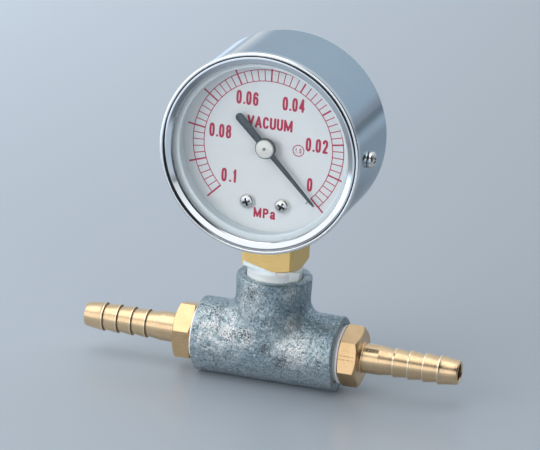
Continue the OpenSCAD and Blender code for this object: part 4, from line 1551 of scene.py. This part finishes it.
# ------------------------------------------------------------------ floor
FLOOR_GAIN = 1.0
FLOOR_COLOR = (0.375, 0.420, 0.472)
FLOOR_Z = -TEE_R - 0.13
FLOOR_HALF = 4.0        # metres


def floor_material():
    """Pale paper with a painted light gradient. Reflections and bounced light also see painted
    light and dark bands in it that the camera does not.
    """
    m = material("floor_pale")
    x, y, _ = m.xyz()
    x = x * 0.01        # units of 100 mm
    y = y * 0.01
    near_x = x.at_least(-2.8).at_most(1.0)
    near_y = y.at_least(-1.2).at_most(5.0)
    # painted light: a little lighter to the back left, as the light falls
    level = near_x * -0.105 + near_x * near_x * 0.021
    level = level - near_x * near_y * 0.016
    level = level + 1.0
    # painted reflection: darker to the right and far behind
    seen = x.remap(over=(2.2, 5.0), to=(1.0, 0.25))
    seen = seen * y.remap(over=(9.0, 14.0), to=(1.0, 0.5))
    # painted light card at the left
    left = x.remap(over=(-1.75, -2.6)) * y.remap(over=(1.0, 2.4), to=(1, 0))
    seen = seen * (left * 1.1 + 1.0)
    # painted dark strip in front, with a painted light card beyond it
    strip = y.remap(over=(-1.0, -1.35)) * y.remap(over=(-1.85, -2.05), to=(1, 0))
    seen = seen * (1.0 - strip * 0.60)
    seen = seen * y.remap(over=(-1.95, -2.2), to=(1.0, 1.55))
    # painted light far behind, painted shade close behind
    seen = seen * y.remap(over=(4.0, 6.5), to=(1.0, 2.0))
    behind = y.remap(over=(0.4, 0.8)) * y.remap(over=(2.0, 1.5))
    behind = behind * abs(x).remap(over=(1.3, 0.8))
    seen = seen * (1.0 - behind * 0.38)
    camera_ray = m.node("ShaderNodeLightPath", out="Is Camera Ray")
    seen = (seen - 1.0) * (1.0 - camera_ray) + 1.0
    level = level * seen
    level = level * FLOOR_GAIN
    color = m.node("ShaderNodeVectorMath", {0: FLOOR_COLOR, "Scale": level},
                   operation="SCALE")
    clouds = m.noise(scale=0.8).remap(over=(0.3, 0.7), to=(0, 0.015))
    color = m.mix(clouds, color, (0.4, 0.45, 0.5))
    normal = m.bump(m.noise(scale=1.5), strength=0.04, depth=0.02)
    return m.bsdf(color, metallic=0.0, roughness=0.32, normal=normal)


def build_floor():
    paper = floor_material()
    mesh = bpy.data.meshes.new("floor")
    corners = ((-1, -1), (1, -1), (1, 1), (-1, 1))
    mesh.from_pydata([(x * FLOOR_HALF, y * FLOOR_HALF, FLOOR_Z * MM) for x, y in corners],
                     [], [(0, 1, 2, 3)])
    ob = add_object("floor", mesh)
    mesh.materials.append(paper)


build_floor()

# ------------------------------------------------------------------ light
# height of the view direction (0 just under the horizon), colour
SKY_STOPS = ((0.0, (0.34, 0.37, 0.42)), (0.10, (0.40, 0.415, 0.47)),
             (0.155, (0.52, 0.60, 0.69)), (0.5, (0.60, 0.68, 0.75)), (1.0, (0.95, 0.98, 1.02)))


def build_world():
    """Studio as a painted sky: light cards, soft boxes and dark openings."""
    world = bpy.data.worlds.new("studio")
    bpy.context.scene.world = world
    w = Nodes(world, "ShaderNodeOutputWorld", "Generated")
    dx, dy, dz = w.xyz()
    level = w.math("SQRT", dx * dx + dy * dy + 1e-6)

    def heading(degrees):
        """Cosine of the angle between the horizontal heading and degrees, from -Y to +X."""
        a = math.radians(degrees)
        return (dx * math.sin(a) + dy * -math.cos(a)) / level

    def height_band(rise, fall):
        return dz.remap(over=rise) * dz.remap(over=fall, to=(1, 0))

    sky = w.node("ShaderNodeValToRGB", {"Fac": dz.remap(over=(-0.1, 1.0))}, out="Color")
    stops = sky.socket.node.color_ramp.elements
    while len(stops) < len(SKY_STOPS):
        stops.new(0.5)
    for stop, (position, color) in zip(stops, SKY_STOPS):
        stop.position = position
        stop.color = (*color, 1.0)
    # light paper behind on the left
    paper = height_band((-0.1, -0.02), (0.02, 0.14)) * heading(-140).remap(over=(0.72, 0.90))
    sky = w.mix(paper, sky, (1.0, 1.0, 1.0))
    # dark room in front, high and to the right
    room = w.dot((0.62, -0.52, 0.55)).remap(over=(0.66, 0.86))
    sky = w.mix(room * 0.97, sky, (0.02, 0.022, 0.025))
    # dark low down at the right
    side = heading(80).remap(over=(0.55, 0.85)) * dz.remap(over=(0.5, 0.2))
    sky = w.mix(side * 0.9, sky, (0.05, 0.055, 0.06))
    # large soft box, front left and low
    front_box = height_band((-0.06, 0.0), (0.40, 0.52)) * heading(-42).remap(over=(0.40, 0.62))
    sky = w.mix(front_box, sky, (1.36, 1.355, 1.35))
    # soft box overhead
    top_box = w.dot((-0.30, -0.25, 0.92)).remap(over=(0.82, 0.92))
    sky = w.mix(top_box, sky, (1.95, 1.95, 1.95))
    w.finish(w.node("ShaderNodeBackground", {"Color": sky, "Strength": 1.0}))


def fill_light(name, width, height, energy, color, location):
    """Broad light for paint and paper that leaves no streak in the plating."""
    light = bpy.data.lights.new(name, "AREA")
    light.shape = "RECTANGLE"
    light.size = width
    light.size_y = height
    light.energy = energy
    light.color = color
    ob = add_object(name, light)
    ob.location = location
    ob.rotation_mode = "QUATERNION"
    aim = Vector((0, 0, 0.06)) - Vector(ob.location)
    ob.rotation_quaternion = aim.to_track_quat("-Z", "Y")
    ob.visible_glossy = False
    ob.visible_camera = False


build_world()
fill_light("fill", width=0.9, height=0.7, energy=6.5, color=(1.0, 0.995, 0.99),
           location=(-0.75, -1.15, 0.55))
fill_light("fill_right", width=0.7, height=0.6, energy=3.6, color=(1.0, 1.0, 1.0),
           location=(1.05, -1.05, 0.42))

# ------------------------------------------------------------------ camera
AZIMUTH, ELEVATION, ROLL = math.radians(16.617), math.radians(18.107), math.radians(3.222)
CAMERA_PLACE = (0.29302, -0.99003, 0.37643)


def build_camera():
    data = bpy.data.cameras.new("camera")
    camera = add_object("camera", data)
    data.lens = 233.2
    data.sensor_width = 36.0
    data.clip_start = 0.05
    data.clip_end = 20.0
    back = Vector((math.sin(AZIMUTH) * math.cos(ELEVATION),
                   -math.cos(AZIMUTH) * math.cos(ELEVATION), math.sin(ELEVATION)))
    level = Vector((math.cos(AZIMUTH), math.sin(AZIMUTH), 0.0))
    upright = back.cross(level)
    right = math.cos(ROLL) * level + math.sin(ROLL) * upright
    up = -math.sin(ROLL) * level + math.cos(ROLL) * upright
    rows = [tuple(row) for row in zip(right, up, back, CAMERA_PLACE)]
    camera.matrix_world = Matrix(rows + [(0, 0, 0, 1)])
    bpy.context.scene.camera = camera


build_camera()
bpy.context.scene.view_settings.view_transform = "Standard"

bpy.context.view_layer.update()
